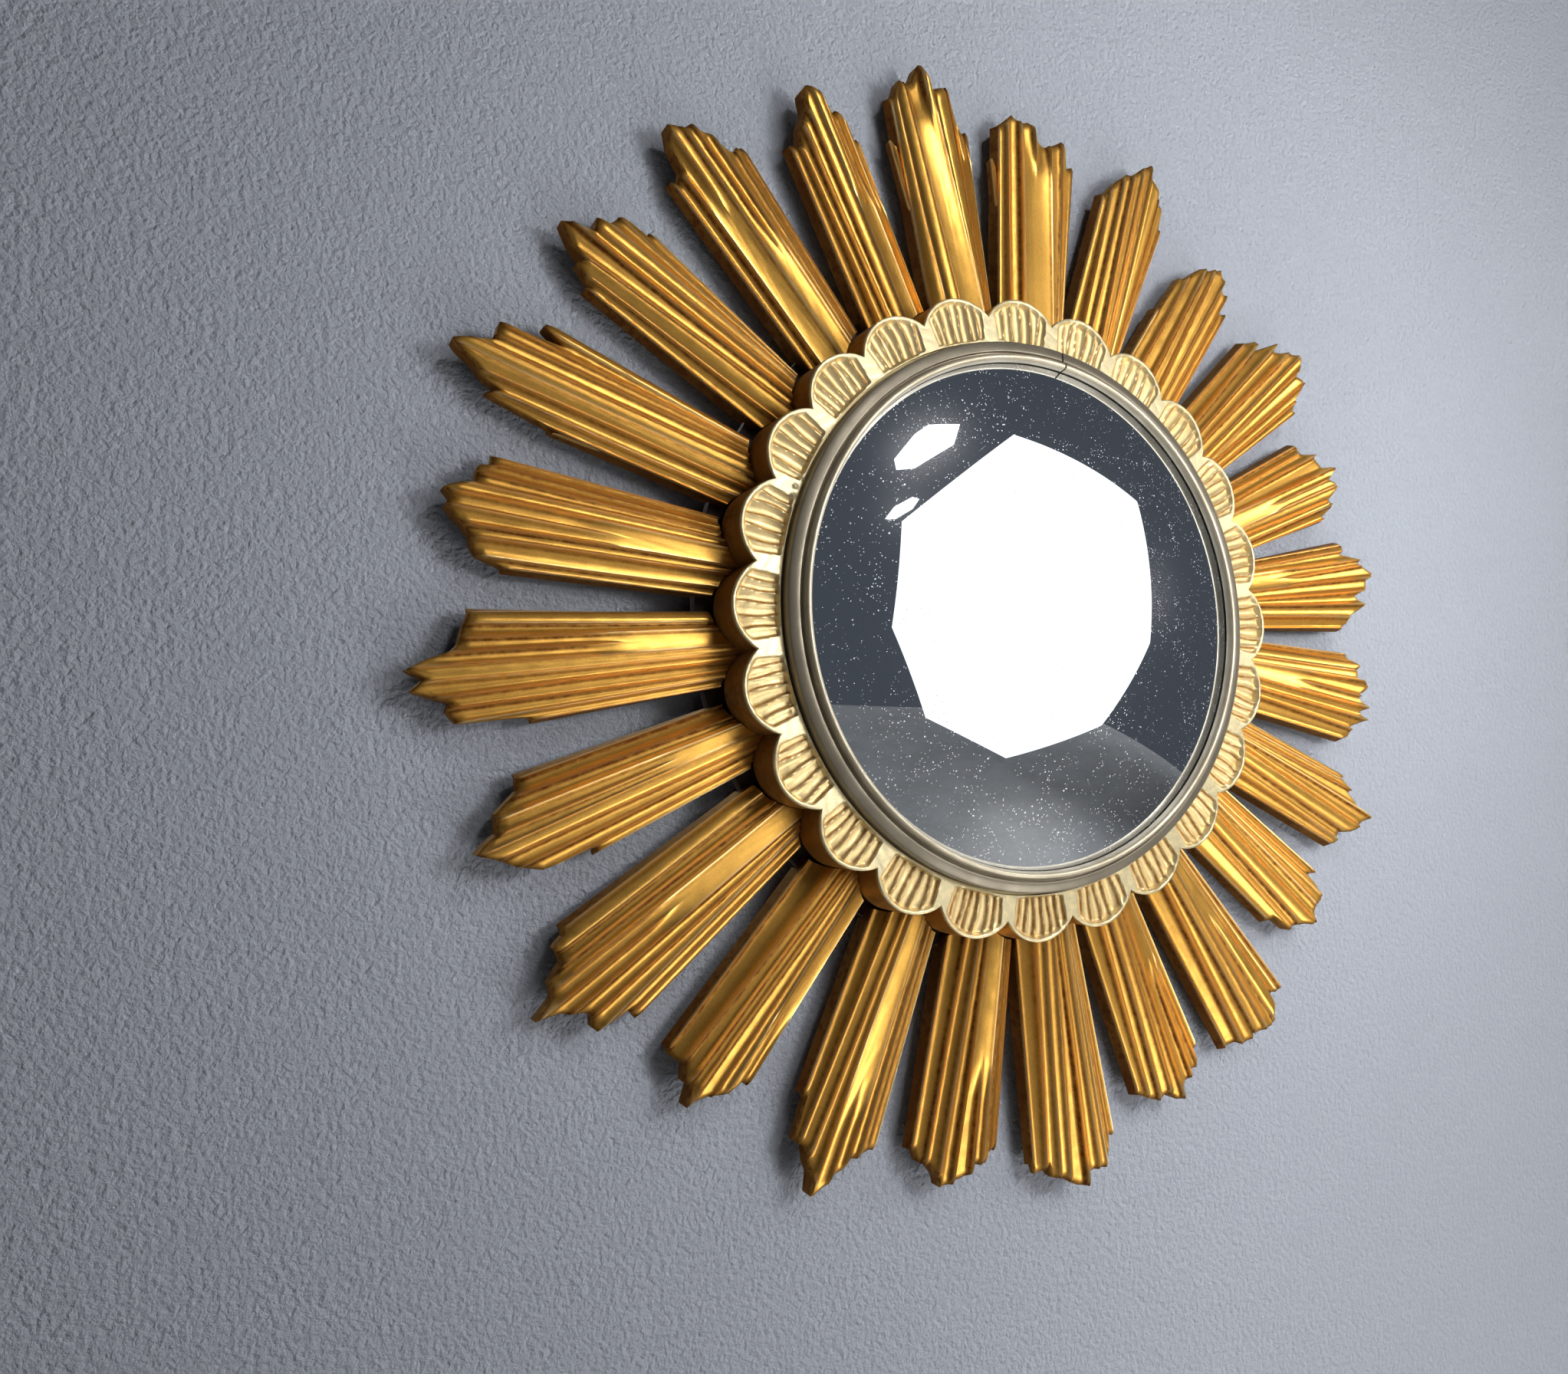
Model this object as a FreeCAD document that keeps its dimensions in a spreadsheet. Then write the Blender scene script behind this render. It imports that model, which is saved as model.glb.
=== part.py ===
"""Sunburst wall mirror: a convex round glass in a stepped metal bezel, a fluted collar of petals, and a ring
of carved rays with ragged tips, on a plain hub that hangs from a ring at its back.

Frame: millimetres, +Z up, the front towards -Y. The wall is the plane Y = 0 and the origin is the centre of
the mirror on that plane, so a depth off the wall is a distance along -Y.
"""
import FreeCAD, Part
import Sketcher

import math
import os

# Driving dimensions: name, value in millimetres (degrees for angles), meaning.
SIZES = (
    ("notch_radius", 170.0, "radius of the circle through the notches between the petals"),
    ("rim_depth", 48.0, "depth of the collar's top off the wall"),
    ("bumper_thick", 6.0, "thickness of a wall bumper"),
    ("bumper_radius", 8.0, "radius of a wall bumper"),
    ("bumper_circle", 176.0, "radius of the circle of the bumpers"),
    ("hub_thick", 6.0, "thickness of the hub board"),
    ("hub_radius", 188.0, "outer radius of the hub board"),
    ("hub_bore", 120.0, "radius of the opening in the hub board"),
    ("ray_root_drop", 19.4, "fall from the collar's top to a ray's crest at its root"),
    ("ray_tip_drop", 26.4, "fall from the collar's top to a ray's crest at its tip"),
    ("ray_dome", 7.6, "fall of a ray's outer reeds below its crest"),
    ("ray_hang", 4.0, "how far the rays' backs lie behind the front of the hub"),
    ("ray_side_flare", 3.0, "how far a ray's side leans out at the back of its tip"),
    ("tongue_width", 24.0, "width of a ray's tongue"),
    ("tongue_thick", 9.7, "thickness of a ray's tongue"),
    ("tongue_cover", 12.0, "length of the tongue inside the notch circle"),
    ("tongue_hold", 20.0, "length of the tongue outside the notch circle"),
    ("collar_skirt", 26.0, "height of the collar's scalloped wall"),
    ("collar_bore", 146.0, "radius of the collar's bore"),
    ("foot_width", 11.7, "width of the collar's foot"),
    ("rebate_radius", 155.4, "radius of the rebate that takes the bezel"),
    ("rebate_deep", 4.0, "depth of that rebate"),
    ("rim_round", 3.0, "rounding of the petal tips"),
    ("flute_sink", 0.3, "how far the crests between a petal's flutes lie below its rim"),
    ("fit_gap", 0.3, "gap round a piece that is let into another"),
    ("bezel_radius", 154.0, "outer radius of the bezel"),
    ("bezel_wall", 9.4, "height of the bezel's outer wall"),
    ("flange_rise", 1.8, "rise of the bezel's flange to its inner edge"),
    ("bead_width", 4.6, "width of the bezel's bead"),
    ("bead_rise", 2.8, "height of the bead's sides over the flange's edge"),
    ("lip_thick", 1.2, "thickness of the lip that carries the bead"),
    ("bead_lip", 4.3, "overlap of the bead over the glass"),
    ("bezel_joint_gap", 0.35, "opening of the bezel's butt joint, in degrees"),
    ("glass_thick", 3.0, "thickness of the mirror glass"),
    ("glass_rise", 27.6, "rise of the glass from its edge to its middle"),
    ("felt_thick", 1.2, "thickness of the felt ring"),
    ("felt_width", 6.5, "width of the felt ring"),
    ("board_thick", 4.0, "thickness of the backing board"),
    ("packing_width", 12.0, "width of the packing ring"),
    ("screw_circle", 152.0, "radius of the circle of the collar screws"),
    ("screw_radius", 1.75, "radius of a collar screw"),
    ("screw_head", 3.6, "radius of a collar screw's head"),
    ("screw_length", 18.0, "length of a collar screw"),
    ("screw_gap", 0.15, "gap round a screw in its hole"),
    ("pivot_height", 168.0, "height of the hanging ring's pivot over the centre"),
    ("strap_thick", 0.9, "thickness of the hanger strap"),
    ("strap_width", 14.0, "width of the hanger strap"),
    ("strap_length", 42.0, "length of the hanger strap below the pivot"),
    ("wire_radius", 1.3, "radius of the hanging ring's wire"),
    ("pivot_gap", 0.08, "running gap round the wire in the strap's curl"),
    ("ring_corner", 2.0, "bend radius at the ends of the ring's bar"),
    ("ring_side", 8.0, "straight length of the ring's sides"),
    ("ring_rest_tilt", 4.0, "lean of the hanging ring off the strap, in degrees"),
    ("pin_radius", 1.4, "radius of a strap screw"),
    ("pin_head", 2.9, "radius of a strap screw's head"),
    ("pin_head_thick", 1.1, "thickness of a strap screw's head"),
    ("pin_length", 6.0, "length of a strap screw under its head"),
    ("pin_first", 27.0, "distance from the pivot to the first strap screw"),
    ("pin_pitch", 9.0, "distance between the two strap screws"),
)
VALUES = {name: value for name, value, meaning in SIZES}

# Each ray, clockwise as seen from the front, from the one just left of the top. Sideways places are shares of
# the notch radius from the ray's own middle line. First its two sides with the crests of its reeds between
# them, each at the root station and at the tip station, then the outline of its ragged tip as pairs of a
# sideways share and a radius share.
ROOT_STATION_SHARE = 1.2
TIP_STATION_SHARE = 1.7
RAY_SHARES = (
    (
        ((-0.108, -0.122), (-0.065, -0.100), (-0.020, -0.065), (0.020, 0.003),
         (0.072, 0.028), (0.103, 0.086), (0.126, 0.118), (0.147, 0.163)),
        ((-0.150, 1.675), (-0.135, 1.825), (-0.118, 1.825), (-0.093, 1.880), (-0.078, 1.873),
         (-0.040, 1.885), (-0.012, 1.935), (0.005, 1.910), (0.025, 1.845), (0.090, 1.865),
         (0.118, 1.720), (0.178, 1.727)),
    ),
    (
        ((-0.114, -0.145), (-0.080, -0.118), (-0.030, -0.068), (0.048, -0.011),
         (0.095, 0.051), (0.137, 0.112), (0.170, 0.180)),
        ((-0.167, 1.656), (-0.150, 1.790), (-0.125, 1.815), (-0.100, 1.845), (-0.075, 1.815),
         (-0.040, 1.825), (-0.017, 1.800), (0.037, 1.752), (0.100, 1.795), (0.143, 1.825),
         (0.154, 1.730), (0.187, 1.740)),
    ),
    (
        ((-0.095, -0.113), (-0.055, -0.090), (-0.030, -0.052), (0.015, -0.020),
         (0.048, 0.012), (0.082, 0.050), (0.120, 0.110), (0.142, 0.171)),
        ((-0.125, 1.718), (-0.106, 1.718), (-0.080, 1.790), (-0.050, 1.837), (-0.033, 1.837),
         (0.000, 1.890), (0.032, 1.925), (0.050, 1.870), (0.094, 1.856), (0.110, 1.818),
         (0.160, 1.840), (0.167, 1.737), (0.190, 1.733)),
    ),
    (
        ((-0.118, -0.125), (-0.075, -0.090), (-0.020, -0.042), (0.030, -0.010),
         (0.066, 0.049), (0.100, 0.100), (0.150, 0.145)),
        ((-0.160, 1.453), (-0.112, 1.453), (-0.108, 1.637), (-0.093, 1.637), (-0.060, 1.730),
         (-0.030, 1.745), (0.018, 1.800), (0.049, 1.764), (0.053, 1.737), (0.103, 1.738),
         (0.107, 1.668), (0.160, 1.702)),
    ),
    (
        ((-0.120, -0.160), (-0.070, -0.118), (-0.035, -0.065), (0.005, -0.013),
         (0.040, 0.029), (0.075, 0.072), (0.105, 0.122), (0.130, 0.162), (0.154, 0.200)),
        ((-0.160, 1.683), (-0.132, 1.746), (-0.107, 1.714), (-0.074, 1.814), (-0.055, 1.787),
         (-0.017, 1.837), (0.014, 1.868), (0.043, 1.910), (0.064, 1.875), (0.079, 1.806),
         (0.137, 1.856), (0.149, 1.829), (0.162, 1.768), (0.207, 1.745)),
    ),
    (
        ((-0.106, -0.135), (-0.079, -0.100), (-0.040, -0.066), (0.000, 0.004),
         (0.032, 0.045), (0.065, 0.076), (0.094, 0.119), (0.125, 0.146), (0.160, 0.190)),
        ((-0.133, 1.675), (-0.120, 1.690), (-0.098, 1.667), (-0.068, 1.745), (-0.006, 1.764),
         (0.017, 1.833), (0.032, 1.790), (0.045, 1.752), (0.085, 1.800), (0.105, 1.760),
         (0.121, 1.730), (0.160, 1.770), (0.180, 1.710), (0.200, 1.706)),
    ),
    (
        ((-0.116, -0.143), (-0.090, -0.115), (-0.060, -0.074), (-0.030, -0.045),
         (0.000, 0.003), (0.038, 0.050), (0.057, 0.099), (0.100, 0.150), (0.145, 0.193)),
        ((-0.145, 1.768), (-0.137, 1.787), (-0.105, 1.748), (-0.082, 1.830), (-0.072, 1.848),
         (-0.058, 1.825), (-0.012, 1.910), (0.011, 1.864), (0.045, 1.852), (0.072, 1.783),
         (0.115, 1.840), (0.130, 1.814), (0.149, 1.745), (0.176, 1.752), (0.193, 1.714)),
    ),
    (
        ((-0.117, -0.147), (-0.095, -0.120), (-0.055, -0.085), (-0.030, -0.044),
         (0.000, 0.014), (0.030, 0.051), (0.065, 0.100), (0.100, 0.148), (0.155, 0.194)),
        ((-0.149, 1.730), (-0.132, 1.745), (-0.111, 1.798), (-0.094, 1.775), (-0.055, 1.760),
         (-0.048, 1.814), (-0.032, 1.856), (-0.009, 1.830), (0.014, 1.780), (0.029, 1.775),
         (0.061, 1.837), (0.079, 1.798), (0.108, 1.840), (0.125, 1.806), (0.143, 1.764),
         (0.183, 1.768), (0.196, 1.730)),
    ),
    (
        ((-0.112, -0.114), (-0.080, -0.092), (-0.054, -0.066), (-0.029, -0.012),
         (0.009, 0.044), (0.050, 0.092), (0.094, 0.134), (0.140, 0.160)),
        ((-0.120, 1.780), (-0.095, 1.764), (-0.075, 1.820), (-0.056, 1.806), (-0.029, 1.860),
         (-0.014, 1.864), (0.000, 1.945), (0.025, 1.920), (0.063, 1.887), (0.094, 1.845),
         (0.110, 1.806), (0.152, 1.818), (0.165, 1.795)),
    ),
    (
        ((-0.133, -0.158), (-0.100, -0.125), (-0.074, -0.085), (-0.045, -0.038),
         (-0.005, 0.013), (0.035, 0.065), (0.075, 0.100), (0.128, 0.138)),
        ((-0.162, 1.770), (-0.120, 1.714), (-0.112, 1.795), (-0.078, 1.830), (-0.055, 1.820),
         (-0.040, 1.795), (0.011, 1.845), (0.034, 1.830), (0.057, 1.790), (0.090, 1.760),
         (0.110, 1.760), (0.115, 1.660), (0.153, 1.645)),
    ),
    (
        ((-0.125, -0.168), (-0.095, -0.130), (-0.065, -0.099), (-0.040, -0.050),
         (-0.020, -0.003), (0.015, 0.042), (0.056, 0.100), (0.117, 0.160)),
        ((-0.167, 1.877), (-0.132, 1.845), (-0.098, 1.820), (-0.094, 1.875), (-0.075, 1.887),
         (-0.038, 1.925), (-0.005, 1.906), (0.045, 1.887), (0.054, 1.860), (0.064, 1.895),
         (0.106, 1.887), (0.125, 1.856), (0.172, 1.845)),
    ),
    (
        ((-0.136, -0.176), (-0.100, -0.140), (-0.070, -0.089), (-0.035, -0.030),
         (-0.008, 0.015), (0.035, 0.060), (0.070, 0.095), (0.118, 0.130)),
        ((-0.183, 1.745), (-0.152, 1.752), (-0.148, 1.810), (-0.120, 1.806), (-0.068, 1.820),
         (-0.037, 1.864), (-0.006, 1.856), (0.017, 1.820), (0.032, 1.810), (0.063, 1.820),
         (0.090, 1.800), (0.117, 1.775), (0.140, 1.756)),
    ),
    (
        ((-0.140, -0.183), (-0.110, -0.150), (-0.085, -0.120), (-0.065, -0.084),
         (-0.030, -0.035), (0.005, 0.025), (0.035, 0.062), (0.070, 0.105), (0.128, 0.148)),
        ((-0.198, 1.845), (-0.162, 1.830), (-0.160, 1.900), (-0.143, 1.933), (-0.078, 1.920),
         (-0.055, 1.933), (-0.047, 1.965), (-0.012, 1.960), (0.026, 1.937), (0.053, 1.910),
         (0.095, 1.902), (0.099, 1.864), (0.149, 1.880), (0.160, 1.800), (0.180, 1.760)),
    ),
    (
        ((-0.143, -0.158), (-0.115, -0.128), (-0.085, -0.095), (-0.050, -0.049),
         (-0.010, 0.014), (0.030, 0.065), (0.070, 0.115), (0.125, 0.162)),
        ((-0.165, 1.768), (-0.128, 1.770), (-0.125, 1.806), (-0.060, 1.806), (-0.052, 1.830),
         (-0.025, 1.848), (0.014, 1.856), (0.056, 1.874), (0.064, 1.845), (0.102, 1.806),
         (0.140, 1.795), (0.152, 1.764), (0.190, 1.748)),
    ),
    (
        ((-0.122, -0.151), (-0.090, -0.120), (-0.070, -0.090), (-0.040, -0.050),
         (-0.010, -0.014), (0.020, 0.030), (0.045, 0.070), (0.090, 0.110), (0.135, 0.148)),
        ((-0.158, 1.774), (-0.122, 1.783), (-0.106, 1.806), (-0.064, 1.818), (-0.048, 1.856),
         (-0.022, 1.887), (0.013, 1.948), (0.025, 1.955), (0.040, 1.895), (0.063, 1.870),
         (0.090, 1.820), (0.130, 1.814), (0.133, 1.690), (0.167, 1.652)),
    ),
    (
        ((-0.105, -0.110), (-0.070, -0.078), (-0.045, -0.045), (-0.020, -0.014),
         (0.007, 0.030), (0.035, 0.068), (0.071, 0.115), (0.140, 0.170)),
        ((-0.112, 1.730), (-0.085, 1.725), (-0.062, 1.775), (-0.035, 1.800), (-0.005, 1.820),
         (0.018, 1.848), (0.038, 1.880), (0.057, 1.820), (0.080, 1.825), (0.107, 1.780),
         (0.141, 1.785), (0.165, 1.780), (0.195, 1.748)),
    ),
    (
        ((-0.110, -0.145), (-0.090, -0.120), (-0.060, -0.085), (-0.036, -0.045),
         (-0.010, 0.000), (0.030, 0.045), (0.060, 0.080), (0.085, 0.115), (0.120, 0.150), (0.158, 0.190)),
        ((-0.149, 1.772), (-0.115, 1.775), (-0.109, 1.830), (-0.098, 1.880), (-0.078, 1.885),
         (-0.055, 1.868), (-0.032, 1.870), (-0.009, 1.900), (0.022, 1.930), (0.052, 1.995),
         (0.066, 1.920), (0.106, 1.900), (0.125, 1.840), (0.152, 1.830), (0.175, 1.830),
         (0.179, 1.790), (0.200, 1.775)),
    ),
    (
        ((-0.090, -0.118), (-0.070, -0.090), (-0.035, -0.048), (-0.010, -0.010),
         (0.020, 0.027), (0.045, 0.057), (0.070, 0.090), (0.100, 0.135), (0.142, 0.175)),
        ((-0.128, 1.605), (-0.096, 1.590), (-0.091, 1.752), (-0.072, 1.783), (-0.048, 1.820),
         (-0.022, 1.845), (0.000, 1.870), (0.030, 1.910), (0.048, 1.870), (0.058, 1.835),
         (0.110, 1.815), (0.133, 1.760), (0.144, 1.735), (0.180, 1.720)),
    ),
    (
        ((-0.100, -0.118), (-0.075, -0.090), (-0.050, -0.055), (-0.020, -0.020),
         (0.005, 0.020), (0.035, 0.055), (0.060, 0.090), (0.090, 0.130), (0.118, 0.165), (0.150, 0.200)),
        ((-0.130, 1.614), (-0.106, 1.660), (-0.100, 1.852), (-0.062, 1.875), (-0.040, 1.865),
         (-0.016, 1.920), (0.005, 1.965), (0.034, 1.925), (0.050, 1.950), (0.065, 1.970),
         (0.088, 1.910), (0.103, 1.840), (0.118, 1.820), (0.165, 1.800), (0.210, 1.775)),
    ),
    (
        ((-0.100, -0.120), (-0.075, -0.095), (-0.030, -0.050), (-0.005, -0.015),
         (0.025, 0.025), (0.055, 0.062), (0.079, 0.095), (0.105, 0.130), (0.130, 0.162), (0.158, 0.190)),
        ((-0.122, 1.683), (-0.098, 1.768), (-0.075, 1.787), (-0.048, 1.795), (-0.025, 1.814),
         (-0.002, 1.845), (0.028, 1.872), (0.050, 1.860), (0.075, 1.885), (0.091, 1.855),
         (0.110, 1.800), (0.149, 1.800), (0.164, 1.790), (0.168, 1.760), (0.200, 1.760)),
    ),
    (
        ((-0.090, -0.118), (-0.060, -0.090), (-0.025, -0.050), (0.010, -0.010),
         (0.045, 0.020), (0.080, 0.059), (0.110, 0.100), (0.130, 0.140), (0.150, 0.170)),
        ((-0.130, 1.600), (-0.115, 1.600), (-0.108, 1.840), (-0.083, 1.810), (-0.072, 1.860),
         (-0.048, 1.900), (-0.030, 1.955), (-0.015, 1.980), (0.005, 1.950), (0.040, 1.880),
         (0.060, 1.875), (0.095, 1.880), (0.125, 1.700), (0.150, 1.765), (0.180, 1.752)),
    ),
    (
        ((-0.088, -0.115), (-0.045, -0.090), (0.000, -0.050), (0.040, 0.007),
         (0.080, 0.040), (0.105, 0.080), (0.130, 0.122), (0.150, 0.165)),
        ((-0.145, 1.700), (-0.128, 1.730), (-0.105, 1.720), (-0.082, 1.790), (-0.066, 1.785),
         (-0.050, 1.840), (-0.018, 1.900), (0.010, 1.845), (0.026, 1.810), (0.066, 1.830),
         (0.076, 1.790), (0.145, 1.780), (0.150, 1.690), (0.180, 1.687)),
    ),
    (
        ((-0.090, -0.105), (-0.055, -0.070), (-0.020, -0.025), (0.014, 0.010),
         (0.045, 0.045), (0.075, 0.085), (0.106, 0.130), (0.150, 0.175)),
        ((-0.130, 1.720), (-0.113, 1.775), (-0.094, 1.755), (-0.060, 1.785), (-0.050, 1.860),
         (-0.020, 1.915), (-0.002, 1.900), (0.014, 1.880), (0.041, 1.880), (0.064, 1.856),
         (0.095, 1.806), (0.130, 1.745), (0.164, 1.760), (0.190, 1.737)),
    ),
    (
        ((-0.095, -0.105), (-0.062, -0.080), (-0.030, -0.045), (0.000, -0.012),
         (0.030, 0.025), (0.060, 0.054), (0.090, 0.088), (0.115, 0.120), (0.143, 0.150)),
        ((-0.130, 1.683), (-0.114, 1.712), (-0.075, 1.700), (-0.052, 1.760), (-0.025, 1.790),
         (-0.010, 1.810), (0.000, 1.865), (0.013, 1.875), (0.040, 1.860), (0.055, 1.850),
         (0.067, 1.820), (0.075, 1.775), (0.113, 1.780), (0.125, 1.730), (0.128, 1.680),
         (0.163, 1.683)),
    ),
)
FULL_TURN = 360
QUARTER_TURN = 90
RAY_PITCH = FULL_TURN / len(RAY_SHARES)
HALF_PITCH = RAY_PITCH / 2

# The planes of a ray's two end sections and the box outside it that the outline cuts clear away.
ROOT_PLANE_SHARE = 0.98
TIP_PLANE_SHARE = 2.03
SIDE_CLEAR_SHARE = 0.3
TIP_CLEAR_SHARE = 2.2
ROOT_CLEAR_SHARE = 0.9
FLUTE_ROUND_SHARE = 0.9

# A petal's rim: the tip's radius, and the circle of the half-round rim.
PETAL_TIP_SHARE = 1.068
RIM_CENTRE_SHARE = 0.9186
RIM_RADIUS_SHARE = 0.1494
NOTCH_GAP_SHARE = 1.68
NOTCH_CLEAR_SHARE = 1.2

# The flutes of a petal: the radius where they end inwards and one outside the rim, their edges across the
# petal as shares of the fluted half width, that half width at both radii, and how round they are.
FLUTE_INNER_SHARE = 0.925
FLUTE_OUTER_SHARE = 1.09
FLUTE_EDGES = (-1, -0.69, -0.30, 0.06, 0.41, 0.73, 1)
FLUTED_INNER_SHARE = 0.0948
FLUTED_OUTER_SHARE = 0.1245
PETAL_ROUND_SHARE = 0.8

BEZEL_JOINT_ANGLE = 9.0
BEAD_ROUND_SHARE = 0.53
BUMPER_COUNT = 4
SCREW_COUNT = 8
HALF = 0.5
X_AXIS = FreeCAD.Vector(1, 0, 0)
Y_AXIS = FreeCAD.Vector(0, 1, 0)
Z_AXIS = FreeCAD.Vector(0, 0, 1)
ORIGIN = FreeCAD.Vector(0, 0, 0)

doc = FreeCAD.newDocument("sunburst_mirror")


class Length:
    """A length as a sum of spreadsheet cells, each times a factor, with its value and its expression."""

    def __init__(self, parts):
        self.parts = parts

    def __add__(self, other):
        names = list(self.parts) + [name for name in other.parts if name not in self.parts]
        return Length({name: self.parts.get(name, 0) + other.parts.get(name, 0) for name in names})

    def __mul__(self, factor):
        return Length({name: share * factor for name, share in self.parts.items()})

    def __neg__(self):
        return self * -1

    def __sub__(self, other):
        return self + -other

    @property
    def value(self):
        return sum(VALUES[name] * share for name, share in self.parts.items())

    @property
    def text(self):
        return " + ".join(f"sizes.{name} * ({share:.6f})" for name, share in self.parts.items()) or "0"


def cell(name):
    """The length that one cell of the sheet holds."""
    return Length({name: 1})


NOTHING = Length({})
NOTCH_RADIUS = cell("notch_radius")
RIM_DEPTH = cell("rim_depth")
HUB_BACK = cell("bumper_thick")
HUB_FRONT = HUB_BACK + cell("hub_thick")
RAY_BACK = HUB_FRONT - cell("ray_hang")
COLLAR_BACK = RIM_DEPTH - cell("collar_skirt")
REBATE_FLOOR = RIM_DEPTH - cell("rebate_deep")
FLANGE_EDGE = REBATE_FLOOR + cell("bezel_wall")
FLANGE_TOP = FLANGE_EDGE + cell("flange_rise")
BEZEL_BORE = cell("collar_bore") + cell("fit_gap")
FITTED_RADIUS = cell("collar_bore") - cell("fit_gap")
BEAD_TOP = FLANGE_TOP + cell("bead_rise")
LIP_BACK = FLANGE_EDGE - cell("lip_thick")
GLASS_EDGE = LIP_BACK - cell("fit_gap")
GLASS_BACK = GLASS_EDGE - cell("glass_thick")
BOARD_FRONT = GLASS_BACK - cell("felt_thick")
BOARD_BACK = BOARD_FRONT - cell("board_thick")
CURL_BORE = cell("wire_radius") + cell("pivot_gap")
CURL_RADIUS = CURL_BORE + cell("strap_thick")
PIVOT_DEPTH = HUB_BACK - CURL_RADIUS
STRAP_BACK = HUB_BACK - cell("strap_thick")
HOLE_RADIUS = cell("screw_radius") + cell("screw_gap")
SINK_RADIUS = cell("screw_head") + cell("screw_gap")
PIN_HOLE = cell("pin_radius") + cell("screw_gap")


def make_sheet():
    """Write the driving dimensions into the spreadsheet."""
    sheet = doc.addObject("Spreadsheet::Sheet", "sizes")
    for row, (name, value, meaning) in enumerate(SIZES, start=1):
        sheet.set(f"A{row}", name)
        sheet.set(f"B{row}", str(value))
        sheet.set(f"C{row}", meaning)
        sheet.setAlias(f"B{row}", name)
    doc.recompute()


def bind(thing, path, length):
    """Bind a property to the cells of a length."""
    thing.setExpression(path, length.text)


def start_body(name):
    """A new body whose label names its file."""
    body = doc.addObject("PartDesign::Body", name)
    body.Label = name
    return body


def start_sketch(body, name, role, offset=None):
    """A sketch on one of the body's own origin planes, moved off it by a length."""
    sketch = body.newObject("Sketcher::SketchObject", f"{body.Name}_{name}")
    plane = [feature for feature in body.Origin.OriginFeatures if feature.Role == role][0]
    sketch.AttachmentSupport = [(plane, "")]
    sketch.MapMode = "FlatFace"
    if offset is not None:
        bind(sketch, "AttachmentOffset.Base.z", offset)
    return sketch


def round_side(start, end, radius):
    """An arc from start to end that bulges to the left of its way, or to the right for a negative radius."""
    chord = end - start
    half = chord.Length * HALF
    rise = math.sqrt(max(radius * radius - half * half, 0))
    aside = FreeCAD.Vector(-chord.y, chord.x, 0).normalize()
    centre = (start + end) * HALF - aside * math.copysign(rise, radius)
    first, last = (end, start) if radius > 0 else (start, end)
    begin = math.atan2(first.y - centre.y, first.x - centre.x)
    finish = math.atan2(last.y - centre.y, last.x - centre.x)
    if finish < begin:
        finish += math.tau
    return Part.ArcOfCircle(Part.Circle(centre, Z_AXIS, abs(radius)), begin, finish)


def draw_outline(sketch, points, rounds=None):
    """A closed outline through points, whose places are bound to the sheet. A rounds entry makes the side
    after that point an arc of that radius, which bulges left of the way round, or right if it is negative."""
    rounds = rounds or {}
    places = [FreeCAD.Vector(across.value, up.value, 0) for across, up in points]
    sides = []
    starts = []
    for index, start in enumerate(places):
        end = places[(index + 1) % len(places)]
        if index in rounds:
            sides.append(round_side(start, end, rounds[index].value))
            starts.append(2 if rounds[index].value > 0 else 1)
        else:
            sides.append(Part.LineSegment(start, end))
            starts.append(1)
    first = len(sketch.Geometry)
    sketch.addGeometry(sides, False)
    bonds = []
    sizes = []
    for index, (across, up) in enumerate(points):
        after = (index + 1) % len(places)
        ends = (first + index, 3 - starts[index], first + after, starts[after])
        bonds.append(Sketcher.Constraint("Coincident", *ends))
        sizes.append((("DistanceX", -1, 1, first + index, starts[index]), across))
        sizes.append((("DistanceY", -1, 1, first + index, starts[index]), up))
    for index, radius in rounds.items():
        sizes.append((("Radius", first + index), radius if radius.value > 0 else -radius))
    sketch.addConstraint(bonds)
    bind_constraints(sketch, sizes)


def bind_constraints(sketch, sizes):
    """Add sketch constraints and bind their values to the sheet."""
    indexes = sketch.addConstraint([Sketcher.Constraint(*words, length.value) for words, length in sizes])
    for index, (words, length) in zip(indexes, sizes):
        bind(sketch, f"Constraints[{index}]", length)


def draw_circle(sketch, across, up, radius):
    """A circle whose middle and radius are bound to the sheet."""
    middle = FreeCAD.Vector(across.value, up.value, 0)
    index = sketch.addGeometry(Part.Circle(middle, Z_AXIS, radius.value), False)
    places = [(("DistanceX", -1, 1, index, 3), across), (("DistanceY", -1, 1, index, 3), up)]
    bind_constraints(sketch, places + [(("Radius", index), radius)])


def draw_axis(sketch, across, length):
    """A construction line along the sketch's vertical, which a turned feature uses as its axis."""
    start = FreeCAD.Vector(across.value, 0, 0)
    end = FreeCAD.Vector(across.value, length.value, 0)
    index = sketch.addGeometry(Part.LineSegment(start, end), True)
    sketch.addConstraint(Sketcher.Constraint("Vertical", index))
    places = [(("DistanceX", -1, 1, index, 1), across), (("DistanceY", -1, 1, index, 1), NOTHING)]
    bind_constraints(sketch, places + [(("DistanceY", index, 1, index, 2), length)])


def add_feature(body, kind, name, sketch, **settings):
    """A feature of the body on a sketch."""
    feature = body.newObject(f"PartDesign::{kind}", f"{body.Name}_{name}")
    feature.Profile = sketch
    for key, value in settings.items():
        setattr(feature, key, value)
    return feature


def pad(body, name, sketch, length, **settings):
    """A pad whose length is bound to the sheet."""
    feature = add_feature(body, "Pad", name, sketch, **settings)
    bind(feature, "Length", length)
    return feature


def cut_through(body, name, sketch):
    """A pocket that cuts right through the body on both sides of its sketch."""
    return add_feature(body, "Pocket", name, sketch, Type="ThroughAll", Midplane=True)


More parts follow.
